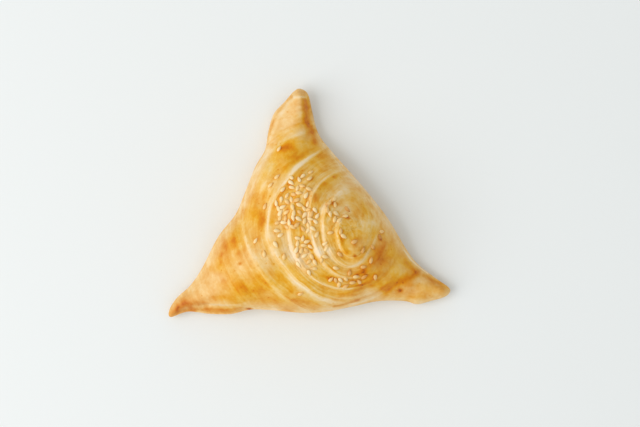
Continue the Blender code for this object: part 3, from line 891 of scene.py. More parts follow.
    streaks: tuple[Streak, ...] = tuple(Streak(*row) for row in (
        (((-1.8, 47.1), (-1.3, 43.1), (-1.5, 38.6), (-0.5, 35.8), (1.2, 33.5)), 1.9, 0.41, 0.7),
        (((1.4, 33.2), (2, 30.7), (2.6, 27.7)), 1.5, 0.24, 0.2),
        (((-4.3, 46.9), (-4.1, 43.4), (-3.9, 40)), 0.9, -0.12),
        (((-8.3, 48.9), (-12.1, 44.8), (-16, 39.5), (-18.2, 32.3), (-19.4, 26.7)), 0.6, 0.24),
        (((-8.1, 46.5), (-11.4, 42.8), (-14.4, 38.2), (-16.6, 32)), 0.8, -0.16),
        (((-7.1, 48.3), (-3.9, 48.6), (-1.5, 48.2)), 0.5, -0.3), (((-6.3, 44.6), (-2.9, 45)), 0.5, 0.12),
        (((-6.5, 42.1), (-3.1, 42.7)), 0.5, 0.12), (((-6.9, 39.5), (-2.9, 40.5)), 0.5, 0.1),
        (((-14.2, 30.2), (-9.4, 32.9), (-2.3, 35.1)), 1.3, 0.07, 0.4),
        (((-12.8, 33), (-8.2, 35.1), (-2.9, 36.7)), 0.4, 0.1, 0.2),
        (((-13.8, 28), (-8.8, 29.9), (-3.9, 31.1), (-1.8, 31.7)), 0.9, -0.11, 0.2),
        (((5.3, 6.2), (8.9, 10.3), (12.9, 12.3)), 2.4, 0.06, 0.5), (((2.9, 3.5), (4.4, -1.5)), 1.2, 0.18),
        (((3.9, 22.8), (0.3, 20.2), (-3.3, 17.6), (-6.5, 15.2)), 0.9, -0.22, -0.3),
        (((5.8, 14.4), (13.1, 16.8)), 0.8, 0.14), (((11.2, 11.7), (16.3, 13.7)), 0.8, 0.14),
        (((14.4, -41.9), (18.5, -40.6), (23.5, -39.2)), 1.2, 0.16, 0.2),
        (((-7.4, -43.7), (-0.5, -45.2)), 1, 0.12),
        # A painted shadow line along the underside of the front edge.
        (((11.3, -47.4), (16.7, -46.2), (22.7, -44.4)), 0.6, 0.36),
        # A pale line along the left rim: partly less-baked dough, partly painted bounce light from the table.
        (((-19, 24.2), (-21.7, 17.3), (-24.4, 11.4), (-27.1, 5), (-29.4, -1)), 1.4, -0.13, -0.4),
        (((-16.9, 17.2), (-19.7, 10.3), (-21.5, 5.8)), 1, -0.12),
        (((9.5, 24.2), (12.2, 19.1), (18.5, 11.8), (23.2, 8.7), (30, -0.9)), 0.8, -0.1),
        # A thin pale line along the right horn's rim: partly pale dough, partly a painted highlight.
        (((43.4, -21.6), (46.6, -26.2), (50.4, -29.4), (54.5, -32.4)), 0.3, -0.3, -0.3),
        (((52.6, -33.1), (58.6, -35.9), (63.2, -38.7)), 1, 0.12, 0.4),
        (((48.6, -32.5), (43.7, -35.4), (38, -37), (34.4, -39.2)), 1.8, 0.34, 0.9),
        (((32.6, -36.9), (27.6, -37.3), (21.7, -37.4)), 1.3, 0.16, 0.4),
        (((32.5, -25.6), (24.6, -30), (18.7, -32.4)), 1.6, 0.06),
        (((-45.6, -46.6), (-38.6, -46.8), (-31.7, -46.7)), 0.5, -0.2, -0.2),
        (((-47.9, -48.5), (-38.7, -48.9), (-31.8, -48.2)), 0.5, 0.18),
        (((-60.6, -50.3), (-51.6, -49.1), (-41.6, -49.9), (-34.7, -49.7)), 0.9, 0.24),
        (((-10, -15), (-7.3, -21.3), (-5.1, -26.8)), 1.6, -0.12, -0.3),
        (((-0.6, -15.9), (1.2, -20.4), (3.1, -25.9)), 1, 0.22, 0.4),
        (((-14.1, -30.4), (-11.4, -35.4), (-8.3, -40)), 1.2, 0.06, 0.2),
        (((34.6, -42.6), (43.9, -43.6), (53, -43.2)), 1.6, 0.1, 0.3),
        (((3.1, -14.1), (4.2, -18.6), (5.3, -23.1)), 1.2, -0.12, -0.2),
        (((-6, 15.8), (-2.9, 18.1), (0.8, 20.9)), 1, -0.1),
        (((-30.6, -8.7), (-28.7, -18.2), (-21.4, -29.5), (-15.1, -39.5), (-12, -42.8)), 1.1, -0.13),
    ))

    def patch_and_streak_tone(self, points: Floats) -> tuple[Floats, Floats]:
        """Add up the patches and streaks, with ragged edges.

        Args:
            points: Places seen from above.

        Returns:
            How much darker each place is than plain crust, and how much more egg wash it holds.
        """
        ragged = 1 + self.ragged * lumps(points, self.ragged_size, Draw.STAIN_EDGES)
        tone = np.zeros(len(points))
        glaze = np.zeros(len(points))
        for patch in self.patches:
            turn = math.radians(patch.turn)
            offset = points / MM - (patch.x, patch.y)
            along = offset @ (math.cos(turn), math.sin(turn)) / patch.half_length
            across = offset @ (-math.sin(turn), math.cos(turn)) / patch.half_width
            share = np.exp(-(along**2 + across**2) * ragged)
            tone += patch.strength * share
            glaze += patch.glaze * share
        for streak in self.streaks:
            distance, _, _ = beside_line(points, streak.line)
            share = np.exp(-((distance / MM / streak.half_width) ** 2) * ragged)
            tone += streak.strength * share
            glaze += streak.glaze * share
        return tone, glaze

    def upper(self, points: Floats, seeds: Floats) -> tuple[Floats, Floats]:
        """Say how browned and how glazed the upper crust is, with painted light added to the browning.

        Args:
            points: Places seen from above.
            seeds: Where the sesame seeds lie, seen from above.

        Returns:
            The browning of each place, with its painted light, and its egg wash from 0 to 1.
        """
        place = self.form.spiral.place(points)
        depth = self.form.outline.depth(points)
        pale, lip = self.form.spiral.edge_paleness(place)
        uneven = self.band_unevenness * lumps(place.unrolled, self.band_patch, Draw.LAYER_EDGES)
        uneven = np.clip(self.band_mean + uneven, *self.band_range)
        marked, washed = self.patch_and_streak_tone(points)
        tone = self.plain - self.band * pale * uneven + self.lip * lip * uneven + marked
        # Paler near the rim: partly less-baked dough, partly painted bounce light from the table.
        tone -= self.edge * (1 - smooth(depth / self.edge_width))
        body = self.form.body_share(points)
        layers = body * self.form.spiral.showing(points) * self.form.spiral.wrinkled(points)
        tone += self.smear * lumps(place.unrolled, self.smear_size, Draw.SMEARS) * layers
        tone += self.cloud * lumps(points, self.cloud_size, Draw.CLOUDS)
        # Darker rings round the seeds: browned egg wash and painted shade.
        tone += self.stain_and_shade_round_seeds(points, seeds)
        bare_share, glazed_share = self.glazed_share
        glaze = smooth((body - bare_share) / (glazed_share - bare_share)) * smooth(depth / self.glazed_depth)
        glaze *= self.glaze_mean + self.glaze_unevenness * lumps(points, self.glaze_size, Draw.EGG_WASH)
        return tone, np.clip(glaze * (1 - self.glaze_off_pale * pale) + washed, 0, 1)

    def stain_and_shade_round_seeds(self, points: Floats, seeds: Floats) -> Floats:
        """Say how much darker the crust is close round the seeds: egg wash that pooled and browned there, and
        painted shade where the seeds sit on it.

        Args:
            points: Places seen from above.
            seeds: Where the sesame seeds lie, seen from above.

        Returns:
            How much darker each place is.
        """
        nearest = np.full(len(points), np.inf)
        for seed in seeds:
            nearest = np.minimum(nearest, np.linalg.norm(points - seed, axis=1))
        uneven = self.seed_mean + self.seed_unevenness * lumps(points, self.seed_patch, Draw.SEED_STAINS_AND_SHADE)
        return self.seed_stain_and_shade * np.clip(uneven, 0, self.seed_most) * bell(nearest, self.seed_stain_and_shade_reach)

    def lower(self, points: Floats) -> Floats:
        """Say how browned the side wall and the underside are, with pale dough along the seams.

        Args:
            points: Places seen from above.

        Returns:
            The browning of each place.
        """
        edge, edge_width = self.base_edge
        on_table = smooth((self.form.outline.depth(points) - edge) / edge_width)
        tone = blend(self.side_wall, self.base, on_table)
        for line in self.form.seam_lines():
            distance, _, _ = beside_line(points, line)
            tone -= self.base_seam * bell(distance, self.base_seam_width) * on_table
        return tone + self.base_cloud * lumps(points, self.base_cloud_size, Draw.UNDERSIDE)


Value = float | tuple[float, ...] | bpy.types.NodeSocket


class Shading:
    """A material being wired up, whose nodes are added in order and joined as they are added."""

    def __init__(self, name: str) -> None:
        """Start a material with a surface shader and nothing else.

        Args:
            name: The material's name.
        """
        self.material = bpy.data.materials.new(name)
        self.material.use_nodes = True
        self.tree = self.material.node_tree
        self.surface = self.tree.nodes["Principled BSDF"]

    def set(self, node: bpy.types.Node, **sockets: Value) -> None:
        """Give a node's sockets their values, or join them to what feeds them.

        Args:
            node: The node.
            sockets: A value or another node's socket for each socket, by its name with _ for each space.
        """
        for name, value in sockets.items():
            self.feed(node.inputs[name.replace("_", " ")], value)

    def feed(self, socket: bpy.types.NodeSocket, value: Value) -> None:
        """Give a socket its value, or join it to what feeds it.

        Args:
            socket: The socket.
            value: Its value, or another node's socket.
        """
        if isinstance(value, bpy.types.NodeSocket):
            self.tree.links.new(value, socket)
        else:
            socket.default_value = value

    def add(self, kind: str, **sockets: Value) -> bpy.types.Node:
        """Add a node with its sockets set.

        Args:
            kind: The kind of node, named without its prefix.
            sockets: A value or another node's socket for each socket, by its name with _ for each space.

        Returns:
            The node.
        """
        node = self.tree.nodes.new("ShaderNode" + kind)
        self.set(node, **sockets)
        return node

    def attribute(self, name: str) -> bpy.types.NodeSocket:
        """Read a number that the mesh holds at each of its points.

        Args:
            name: The name that the mesh holds it under.

        Returns:
            The number.
        """
        node = self.add("Attribute")
        node.attribute_name = name
        return node.outputs["Fac"]

    def noise(self, places: bpy.types.NodeSocket, scale: float, detail: float,
              distortion: float = 0.0) -> bpy.types.NodeSocket:
        """Draw noise from 0 to 1 over some coordinates, with detail finer sets of lumps in it."""
        node = self.add("TexNoise", Vector=places, Scale=scale, Detail=detail, Distortion=distortion)
        return node.outputs["Fac"]

    def math(self, operation: str, first: Value, second: Value = 0.0) -> bpy.types.NodeSocket:
        """Work out a sum, product or other operation on two numbers.

        Args:
            operation: The operation's name.
            first: The first number, or what feeds it.
            second: The second number, or what feeds it.

        Returns:
            What comes of it.
        """
        node = self.add("Math")
        node.operation = operation
        for socket, value in zip(node.inputs, (first, second)):
            self.feed(socket, value)
        return node.outputs["Value"]

    def mix(self, share: bpy.types.NodeSocket, first: bpy.types.NodeSocket,
            second: bpy.types.NodeSocket) -> bpy.types.NodeSocket:
        """Mix two colours.

        Args:
            share: How much there is of the second, from 0 to 1.
            first: The first colour.
            second: The second colour.

        Returns:
            The mixed colour.
        """
        node = self.add("Mix")
        node.data_type = "RGBA"
        self.feed(node.inputs["Factor"], share)
        self.feed(node.inputs[MIX_FIRST], first)
        self.feed(node.inputs[MIX_SECOND], second)
        return node.outputs[MIX_RESULT]

    def swing(self, tone: bpy.types.NodeSocket, shift: bpy.types.NodeSocket,
              reach: Value) -> bpy.types.NodeSocket:
        """Shift a tone up and down by a noise.

        Args:
            tone: The tone to shift.
            shift: Noise from 0 to 1, which shifts nothing at a half.
            reach: The whole distance from the lowest shift to the highest.

        Returns:
            The shifted tone.
        """
        centred = self.math("SUBTRACT", shift, 0.5)
        return self.math("ADD", tone, self.math("MULTIPLY", centred, reach))

    def ramp(self, tone: bpy.types.NodeSocket, stops: Rows) -> bpy.types.NodeSocket:
        """Turn a tone into a colour.

        Args:
            tone: A number from 0 to 1.
            stops: The tone of each stop, and its colour as a screen shows it.

        Returns:
            The colour.
        """
        node = self.add("ValToRGB", Fac=tone)
        elements = node.color_ramp.elements
        while len(elements) < len(stops):
            elements.new(0.5)
        for element, (position, *_) in zip(elements, stops):
            element.position = position
        for element, (_, *shades) in zip(elements, stops):
            element.color = (*display_colour(*shades), 1.0)
        return node.outputs["Color"]


@dataclass(frozen=True)
class BakedDough:
    """Egg-washed laminated dough, from pale cream along the layers' edges to dark brown where it caught."""

    name: str = "baked_dough"
    glazed: Rows = (
        (0, 243, 221, 179), (0.15, 242, 211, 153), (0.3, 239, 199, 117), (0.45, 235, 182, 71),
        (0.6, 229, 162, 29), (0.75, 221, 137, 6), (0.88, 206, 112, 4), (1, 150, 74, 9),
    )
    bare: Rows = (
        (0, 244, 223, 189), (0.15, 242, 212, 163), (0.3, 239, 200, 137), (0.45, 232, 181, 107),
        (0.6, 223, 159, 78), (0.75, 214, 135, 51), (0.88, 200, 110, 30), (1, 154, 76, 26),
    )
    detail: float = 3.0
    fine_detail: float = 2.0
    streak_scale: tuple[float, float, float] = (62.0, 340.0, 1.0)
    fine_streak_scale: tuple[float, float, float] = (170.0, 1050.0, 1.0)
    streak_distortion: float = 0.5
    streak_reach: float = 0.80
    fine_streak_reach: float = 0.28
    blotch_scale: float = 210.0
    blotch_reach: float = 0.42
    mottle_scale: float = 750.0
    mottle_reach: float = 0.25
    grain_scale: float = 2600.0
    grain_reach: float = 0.05
    freckle_scale: float = 330.0
    freckle_size: float = 0.09
    freckle_strength: float = 0.22
    freckles_among: float = 0.72
    freckle_fade: Pair = (2.2, 0.6)
    rough_pale: float = 0.62
    rough_brown: float = 0.40
    rough_reach: float = 0.14
    shine: float = 0.16
    streak_relief: float = 0.55
    mottle_relief: float = 0.5
    grain_relief: float = 0.16
    bump_height: float = 0.36 * MM

    def make(self) -> bpy.types.Material:
        """Wire up the material.

        Returns:
            The material.
        """
        shading = Shading(self.name)
        coordinates = shading.add("TexCoord").outputs["Object"]
        layers = shading.add("UVMap")
        layers.uv_map = "layers"
        rolled = shading.attribute("rolled")
        streak_places = shading.add("Mapping", Vector=layers.outputs["UV"], Scale=self.streak_scale)
        fine_places = shading.add("Mapping", Vector=layers.outputs["UV"], Scale=self.fine_streak_scale)
        places, pull = streak_places.outputs["Vector"], self.streak_distortion
        streaks = shading.noise(places, 1.0, self.detail, pull)
        fine_streaks = shading.noise(fine_places.outputs["Vector"], 1.0, self.fine_detail, pull)
        blotches = shading.noise(coordinates, self.blotch_scale, self.detail)
        mottle = shading.noise(coordinates, self.mottle_scale, self.detail)
        grain = shading.noise(coordinates, self.grain_scale, self.fine_detail)

        tone = shading.attribute("browning")
        tone = shading.swing(tone, streaks, shading.math("MULTIPLY", rolled, self.streak_reach))
        tone = shading.swing(tone, fine_streaks, shading.math("MULTIPLY", rolled, self.fine_streak_reach))
        tone = shading.swing(tone, blotches, self.blotch_reach)
        tone = shading.swing(tone, mottle, self.mottle_reach)
        tone = shading.swing(tone, grain, self.grain_reach)
        tone = shading.math("ADD", tone, self.freckles(shading, coordinates))
        bare, glazed = shading.ramp(tone, self.bare), shading.ramp(tone, self.glazed)
        colour = shading.mix(shading.attribute("glaze"), bare, glazed)
        rough = shading.add("MapRange", Value=tone, To_Min=self.rough_pale, To_Max=self.rough_brown)
        roughness = shading.swing(rough.outputs["Result"], mottle, self.rough_reach)
        shading.set(shading.surface, Base_Color=colour, Roughness=roughness)
        shading.set(shading.surface, Metallic=0.0, Specular_IOR_Level=self.shine)

        relief = shading.math("MULTIPLY", shading.math("MULTIPLY", fine_streaks, rolled), self.streak_relief)
        relief = shading.math("ADD", relief, shading.math("MULTIPLY", mottle, self.mottle_relief))
        relief = shading.math("ADD", relief, shading.math("MULTIPLY", grain, self.grain_relief))
        bump = shading.add("Bump", Height=relief, Strength=1.0, Distance=self.bump_height)
        shading.set(shading.surface, Normal=bump.outputs["Normal"])
        return shading.material

    def freckles(self, shading: Shading, coordinates: bpy.types.NodeSocket) -> bpy.types.NodeSocket:
        """Scatter small dark freckles where the egg wash has caught.

        Args:
            shading: The material being wired up.
            coordinates: The coordinates to scatter them over.

        Returns:
            How much darker each place is.
        """
        cells = shading.add("TexVoronoi", Vector=coordinates, Scale=self.freckle_scale)
        cells.feature = "F1"
        chosen = shading.math("GREATER_THAN", cells.outputs["Color"], self.freckles_among)
        outside, inside = (self.freckle_size * share for share in self.freckle_fade)
        near = shading.add("MapRange", Value=cells.outputs["Distance"], From_Min=outside, From_Max=inside,
                           To_Min=0.0, To_Max=self.freckle_strength)
        return shading.math("MULTIPLY", near.outputs["Result"], chosen)


@dataclass(frozen=True)
class SesameHull:
    """Hulled sesame, creamy white with toasted tips, some seeds more toasted than others, and painted shade
    darkening the seeds towards the right.
    """

    name: str = "sesame"
    stops: Rows = (
        (0, 250, 226, 176), (0.4, 244, 206, 136), (0.75, 226, 164, 78), (1, 180, 106, 34),
    )
    mottle_scale: float = 900.0
    mottle_detail: float = 2.0
    mottle_reach: float = 0.25
    roughness: float = 0.42
    shine: float = 0.5
    bump_height: float = 0.05 * MM

    def make(self) -> bpy.types.Material:
        """Wire up the material.

        Returns:
            The material.
        """
        shading = Shading(self.name)
        coordinates = shading.add("TexCoord").outputs["Object"]
        mottle = shading.noise(coordinates, self.mottle_scale, self.mottle_detail)
        tone = shading.swing(shading.attribute("toast"), mottle, self.mottle_reach)
        bump = shading.add("Bump", Height=mottle, Strength=1.0, Distance=self.bump_height)
        shading.set(shading.surface, Base_Color=shading.ramp(tone, self.stops), Roughness=self.roughness,
                    Metallic=0.0, Specular_IOR_Level=self.shine, Normal=bump.outputs["Normal"])
        return shading.material


@dataclass(frozen=True)
class TableTop:
    """A matt, nearly white table top."""

    name: str = "pale_table"
    colour: Colour = (0.850, 0.880, 0.890)
    roughness: float = 0.75
    shine: float = 0.2

    def make(self) -> bpy.types.Material:
        """Wire up the material.

        Returns:
            The material.
        """
        shading = Shading(self.name)
        shading.set(shading.surface, Base_Color=(*self.colour, 1.0), Roughness=self.roughness,
                    Metallic=0.0, Specular_IOR_Level=self.shine)
        return shading.material


@dataclass(frozen=True)
class SesameSeeds:
    """The sesame seeds: clusters of them, and seeds laid one by one.

    A cluster is (x, y, half width, half height, how many) in mm, and a lone seed is (x, y, which way its tip
    points) in mm and degrees.
    """

    form: PastryForm
    relief: CrustRelief
    finish: SesameHull = SesameHull()
    length: float = 3.1 * MM
    width: float = 1.9 * MM
    thickness: float = 1.2 * MM
    taper: float = 0.55
    spacing: float = 2.1 * MM
    raised: float = 0.2 * MM
    sizes: Pair = (0.94, 1.14)
    clusters: Rows = (
        (-4.5, 9.0, 5.0, 4.5, 3),
        (-9.0, -3.5, 5.0, 8.0, 15),
        (-1.0, -8.0, 4.0, 6.0, 8),
        (-3.0, -19.5, 3.5, 4.5, 2),
        (3.0, -27.5, 3.5, 3.0, 3),
        (13.0, -3.5, 5.5, 5.5, 10),
        (17.0, -35.5, 7.0, 2.5, 3),
    )
    lone: Rows = (
        (-13.7, 24.6, 60), (-14.5, 11.8, 40), (-17.5, 8.0, 42), (-4.6, 10.5, 110), (-8.2, 9.0, -38),
        (-7.8, 6.8, -20), (-11.9, 6.0, 48), (-3.1, 7.5, -18), (0.7, 13.8, 43), (0.2, 10.9, 45),
        (-0.1, 6.1, -25), (-4.6, 4.4, -8), (-1.4, 3.3, 60), (-10.0, 3.3, 60), (-14.9, -0.1, 100),
        (-20.0, -1.6, 70), (-11.9, -1.9, 25), (-9.8, 0.2, -45), (-13.1, -4.6, 60), (-10.2, -4.3, 30),
        (-7.0, -4.6, 80), (-0.6, -0.5, 75), (-0.4, -3.1, 10), (3.6, -5.9, 55), (2.6, -3.4, -50),
        (-14.2, -9.1, 20), (-2.1, -8.1, 75), (-9.0, -8.8, 100), (-5.5, -9.9, 40), (-10.7, -6.9, 80),
        (1.7, -11.7, -35), (-14.5, -12.7, -5), (-13.0, -14.6, 30), (-24.2, -17.2, 60), (-20.4, -23.0, 95),
        (-15.2, -18.9, -55), (-11.4, -24.2, 85), (-4.8, -27.9, -55), (-0.1, -31.6, -70), (-4.0, -41.2, 35),
        (-2.9, -16.0, 80), (-1.0, -17.5, 20), (-2.4, -19.2, 0), (0.6, -19.9, -35), (-5.3, -18.3, 80),
        (-5.8, -21.2, 70), (-3.6, -21.5, 70), (-5.1, -23.6, 75), (-1.2, -21.6, -40), (1.2, -24.5, -60),
        (2.6, -27.0, -60), (3.4, -14.3, 60), (9.6, -13.5, 10), (14.1, -12.8, 80), (15.5, -15.2, -30),
        (7.1, -18.4, 35), (7.7, -20.6, 60), (7.3, -24.4, -15), (13.9, -23.4, -35), (20.4, -17.6, 20),
        (32.9, -13.2, 15), (32.1, -15.8, -60), (28.7, -20.2, -35), (24.2, -21.3, 65), (27.9, -26.0, 75),
        (24.6, -29.0, 5), (12.1, -29.5, -15), (18.2, -31.6, 80), (21.2, -33.4, 0), (24.9, -33.4, 35),
        (29.9, -33.9, -75), (9.8, -34.6, 45), (14.2, -35.0, -50), (16.7, -34.6, -60), (19.7, -36.1, 0),
        (16.5, -37.8, 35),
    )
    toast: Pair = (0.05, 0.55)
    # Painted shade: the seeds darken towards the right, away from the lamp.
    shade_to_right: float = 0.4
    shaded_from: float = 6 * MM
    shaded_over: float = 22 * MM
    tip_toast: float = 0.5
    draw: int = 11
    draws_per_seed: int = 60
    slope_reach: float = 0.8 * MM
    around: int = 10
    along: int = 8

    @cached_property
    def spots(self) -> list[tuple[Vector, float, float]]:
        """Place the seeds, the lone ones first. The drawn ones keep their spacing.

        Returns:
            Where each seed lies, seen from above, its turn and its size.
        """
        draw = random.Random(self.draw)
        placed = [(Vector((x, y)) * MM, math.radians(turn)) for x, y, turn in self.lone]
        for x, y, half_width, half_height, count in self.clusters:
            wanted = len(placed) + count
            for _ in range(count * self.draws_per_seed):
                angle = draw.uniform(0, 2 * math.pi)
                reach = math.sqrt(draw.random())
                across = Vector((half_width * math.cos(angle), half_height * math.sin(angle))) * reach
                spot = (Vector((x, y)) + across) * MM
                turn = draw.uniform(0, 2 * math.pi)
                if len(placed) < wanted and all((spot - other).length > self.spacing for other, _ in placed):
                    placed.append((spot, turn))
        return [(spot, turn, draw.uniform(*self.sizes)) for spot, turn in placed]

    @cached_property
    def places(self) -> Floats:
        """Where the seeds lie, seen from above."""
        return np.array([spot for spot, _, _ in self.spots])

    def crust_height(self, points: Floats) -> Floats:
        """Height of the crust that the seeds lie on."""
        return self.form.top_height(points) + self.relief.height(points)

    def shape(self) -> bmesh.types.BMesh:
        """Model one seed: a flat drop, pointed at one end, with its length along X.

        Returns:
            The seed's mesh.
        """
        bm = bmesh.new()
        bmesh.ops.create_uvsphere(bm, u_segments=self.around, v_segments=self.along, radius=0.5)
        bmesh.ops.rotate(bm, verts=bm.verts, matrix=Matrix.Rotation(math.pi / 2, 3, "Y"))
        for vertex in bm.verts:
            narrowing = 1 - self.taper * (vertex.co.x + 0.5) ** 2
            vertex.co.x *= self.length
            vertex.co.y *= self.width * narrowing
            vertex.co.z *= self.thickness * narrowing
        return bm

    def build(self) -> bpy.types.Object:
        """Lay every seed on the crust, as one piece with its finish.

        Returns:
            The seeds.
        """
        one = bpy.data.meshes.new("one_seed")
        shape = self.shape()
        tip = [vertex.co.x / self.length for vertex in shape.verts]
        shape.to_mesh(one)
        shape.free()
        flat = self.places
        steps = np.eye(2) * self.slope_reach
        slopes = [(self.crust_height(flat + step) - self.crust_height(flat - step)) / (2 * self.slope_reach)
                  for step in steps]
        # Painted shade that darkens the seeds towards the right, away from the lamp.
        right_shade = self.shade_to_right * smooth((flat[:, 0] - self.shaded_from) / self.shaded_over)
        toasting = random.Random(self.draw + 1)
        toast: list[float] = []
        bm = bmesh.new()
        rows = zip(self.spots, self.crust_height(flat), *slopes, right_shade)
        for (spot, turn, size), z, dx, dy, right_shade_here in rows:
            up = Vector((-dx, -dy, 1)).normalized()
            lie = Vector((0, 0, 1)).rotation_difference(up) @ Matrix.Rotation(turn, 3, "Z").to_quaternion()
            place = Vector((*spot, z)) + up * self.raised
            before = len(bm.verts)
            bm.from_mesh(one)
            bm.verts.ensure_lookup_table()
            scale = Vector((size,) * 3)
            bmesh.ops.transform(bm, matrix=Matrix.LocRotScale(place, lie, scale), verts=bm.verts[before:])
            toast_and_shade = toasting.uniform(*self.toast) + right_shade_here
            toast += [toast_and_shade + self.tip_toast * max(0.0, share) for share in tip]
        bpy.data.meshes.remove(one)
        mesh = finish_mesh("sesame_seeds", bm, self.finish.make())
        hold_numbers(mesh, toast=np.array(toast))
        return add_piece("sesame_seeds", mesh)


def finish_mesh(name: str, bm: bmesh.types.BMesh, material: bpy.types.Material) -> bpy.types.Mesh:
    """Turn an edited mesh into a smoothly shaded one with its material.

    Args:
        name: The mesh's name.
        bm: The edited mesh, which is freed.
        material: The material.

    Returns:
        The mesh.
    """
    mesh = bpy.data.meshes.new(name)
    bm.to_mesh(mesh)
    bm.free()
    mesh.materials.append(material)
    mesh.shade_smooth()
    return mesh


def hold_numbers(mesh: bpy.types.Mesh, **numbers: Floats) -> None:
    """Let a mesh hold numbers for its finish, one for each of its points, under their names."""
    for name, values in numbers.items():
        mesh.attributes.new(name, "FLOAT", "POINT").data.foreach_set("value", values.astype(np.float32))


def put_in_scene(name: str, data: bpy.types.ID) -> bpy.types.Object:
    """Put a mesh, a lamp or a camera in the scene.

    Args:
        name: The object's name.
        data: Its mesh, lamp or camera.

    Returns:
        The object.
    """
    item = bpy.data.objects.new(name, data)
    bpy.context.scene.collection.objects.link(item)
    return item


def add_piece(name: str, mesh: bpy.types.Mesh) -> bpy.types.Object:
    """Put a mesh in the scene as a piece that stands for the baked crust.

    Args:
        name: The piece's name.
        mesh: Its mesh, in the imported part's frame.

    Returns:
        The piece.
    """
    piece = put_in_scene(name, mesh)
    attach(piece, BODY)
    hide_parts(NODE)
    log.info("%s: %d faces", name, len(mesh.polygons))
    return piece


@dataclass(frozen=True)
class Crust:
    """The whole crust as one closed skin, drawn in rings from the rim to the middle, above and below."""

    form: PastryForm
    relief: CrustRelief
    browning: BrowningAndPaintedLight
    finish: BakedDough = BakedDough()
    round_steps: int = 560
    top_edge_rings: tuple[float, ...] = (0.998, 0.994, 0.988, 0.98)
    top_ring_step: float = 0.0078
    base_edge_rings: tuple[float, ...] = (0.992, 0.98, 0.965, 0.95, 0.93, 0.91, 0.885, 0.86, 0.83, 0.8, 0.76)
    base_ring_step: float = 0.05
    closest: float = 0.002
    horn_layers: float = 0.4
    quick_share: int = 2

    def draw_ring(self, bm: bmesh.types.BMesh, edges: list, share: float, level: Level) -> list:
        """Draw a ring of edges in to a smaller one, on one side of the rim.

        Args:
            bm: The mesh.
            edges: The ring's edges.
            share: The new ring's radius.
            level: The side that it is on.

        Returns:
            The new ring's edges.
        """
        made = bmesh.ops.extrude_edge_only(bm, edges=edges)["geom"]
        for vertex in (item for item in made if isinstance(item, bmesh.types.BMVert)):
            vertex.co = Vector((*vertex.co.xy.normalized() * share, level.value))
        return [item for item in made if isinstance(item, bmesh.types.BMEdge)]

    def draw_pillow(self) -> bmesh.types.BMesh:
        """Draw rings from a round rim to the middle, above and below, before they are laid on the form.

        Near the middle, points closer than the closest allowed are joined.

        Returns:
            The round pillow's mesh, in triangles.
        """
        coarser = 1
        bm = bmesh.new()
        bmesh.ops.create_circle(bm, segments=self.round_steps // coarser, radius=1.0)
        rim = list(bm.edges)
        sides = (
            (Level.TOP, self.top_edge_rings, self.top_ring_step * coarser),
            (Level.BASE, self.base_edge_rings, self.base_ring_step * coarser),
        )
        for level, edge_rings, ring_step in sides:
            edges = rim
            for share in (*edge_rings, *np.arange(edge_rings[-1] - ring_step, 0, -ring_step)):
                edges = self.draw_ring(bm, edges, share, level)
            bmesh.ops.edgeloop_fill(bm, edges=edges)
        bmesh.ops.remove_doubles(bm, verts=bm.verts, dist=self.closest)
        bmesh.ops.triangulate(bm, faces=bm.faces)
        return bm

    def build(self, seeds: SesameSeeds) -> bpy.types.Object:
        """Lay the pillow on the pastry's form and dress it.

        Args:
            seeds: The seeds that lie on the crust.

        Returns:
            The crust.
        """
        bm = self.draw_pillow()
        places = np.array([vertex.co for vertex in bm.verts])
        levels = places[:, 2]
        flat = self.form.outline.spread(places[:, 0], places[:, 1])
        top = levels == Level.TOP.value
        height = np.where(levels == Level.RIM.value, self.form.rim_height(flat), 0.0)
        height[top] = self.form.top_height(flat[top]) + self.relief.height(flat[top])
        base = levels == Level.BASE.value
        height[base] = self.form.base_height(flat[base])
        for vertex, (x, y), z in zip(bm.verts, flat, height):
            vertex.co = (x, y, z)
        if bm.calc_volume(signed=True) < 0:
            bmesh.ops.reverse_faces(bm, faces=bm.faces)
        mesh = finish_mesh("crust", bm, self.finish.make())
        self.dress(mesh, flat, levels, seeds)
        return add_piece("crust", mesh)

    def dress(self, mesh: bpy.types.Mesh, flat: Floats, levels: Floats, seeds: SesameSeeds) -> None:
        """Give the crust its browning, with the painted light added to it, and its place in the rolled
        layers.

        Args:
            mesh: The crust's mesh.
            flat: Each of its points seen from above.
            levels: The side of the crust that each point is on.
            seeds: The seeds that lie on the crust.
        """
        above = levels > Level.BASE.value
        spiral = self.form.spiral
        browning, glaze = np.zeros(len(flat)), np.zeros(len(flat))
        browning[above], glaze[above] = self.browning.upper(flat[above], seeds.places)
        browning[~above] = self.browning.lower(flat[~above])
        rolled = above * blend(self.horn_layers, 1, self.form.body_share(flat)) * spiral.showing(flat)
        hold_numbers(mesh, browning=browning, glaze=glaze, rolled=rolled)
        corners = np.zeros(len(mesh.loops), np.int32)
        mesh.loops.foreach_get("vertex_index", corners)
        unrolled = spiral.unroll(flat[corners].reshape(-1, 3, 2))
        mesh.uv_layers.new(name="layers").data.foreach_set("uv", unrolled.astype(np.float32).ravel())


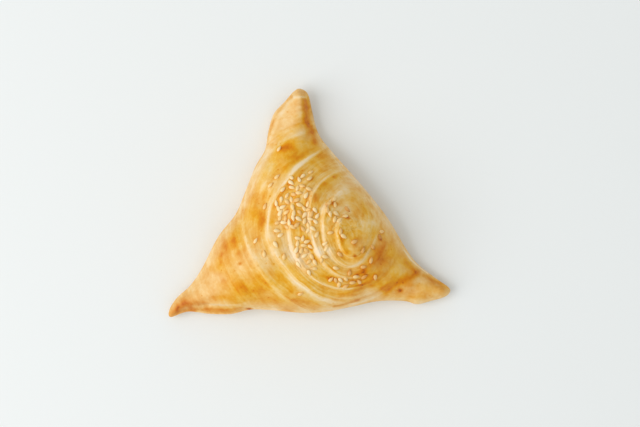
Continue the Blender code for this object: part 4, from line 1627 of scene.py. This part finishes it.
@dataclass(frozen=True)
class PaleTable:
    """The plain pale table that the pastry lies on."""

    size: float = 4.0
    clear_of_pastry: float = 0.05 * MM
    finish: TableTop = TableTop()

    def build(self) -> bpy.types.Object:
        """Lay the table top under the pastry.

        Returns:
            The table top.
        """
        bm = bmesh.new()
        bmesh.ops.create_grid(bm, x_segments=1, y_segments=1, size=self.size / 2)
        bmesh.ops.translate(bm, verts=bm.verts, vec=(0, 0, -self.clear_of_pastry))
        table = put_in_scene("table", finish_mesh("table", bm, self.finish.make()))
        return table


@dataclass(frozen=True)
class SoftLight:
    """A large soft lamp to the upper left, and even light from all round."""

    place: tuple[float, float, float] = (-1.05, -0.24, 1.06)
    size: float = 1.35
    power: float = 13.2
    colour: Colour = (1.0, 0.975, 0.955)
    all_round: Colour = (0.660, 0.669, 0.657)

    def build(self) -> None:
        """Hang the lamp and set the light from all round."""
        lamp = bpy.data.lights.new("window", "AREA")
        lamp.shape = "SQUARE"
        lamp.size = self.size
        lamp.energy = self.power
        lamp.color = self.colour
        holder = put_in_scene("window", lamp)
        holder.location = self.place
        holder.rotation_euler = (-Vector(self.place)).to_track_quat("-Z", "Y").to_euler()
        world = bpy.data.worlds.new("room")
        world.use_nodes = True
        world.node_tree.nodes["Background"].inputs["Color"].default_value = (*self.all_round, 1.0)
        bpy.context.scene.world = world


@dataclass(frozen=True)
class OverheadCamera:
    """The camera, straight above the pastry and looking down."""

    aim: Pair = (4.86 * MM, -4.86 * MM)
    height: float = 1.6
    measured_height: float = 8 * MM
    field_width: float = 293.7 * MM
    sensor_width: float = 36.0
    nearest: float = 0.01
    farthest: float = 10.0

    def build(self) -> bpy.types.Object:
        """Hang the camera.

        Returns:
            The camera.
        """
        data = bpy.data.cameras.new("overhead")
        data.sensor_width = self.sensor_width
        data.lens = self.sensor_width * (self.height - self.measured_height) / self.field_width
        data.clip_start = self.nearest
        data.clip_end = self.farthest
        camera = put_in_scene("overhead", data)
        camera.location = (*self.aim, self.height)
        bpy.context.scene.camera = camera
        return camera


def main() -> None:
    """Build the samsa, its table, its light and its camera."""
    logging.basicConfig(level=logging.INFO, format="%(message)s", force=True)
    scene = bpy.context.scene
    scene.view_settings.view_transform = "Standard"
    form = PastryForm()
    relief = CrustRelief(form)
    seeds = SesameSeeds(form, relief)
    Crust(form, relief, BrowningAndPaintedLight(form)).build(seeds)
    seeds.build()
    PaleTable().build()
    SoftLight().build()
    OverheadCamera().build()
    bpy.context.view_layer.update()


if __name__ == "__main__":
    main()
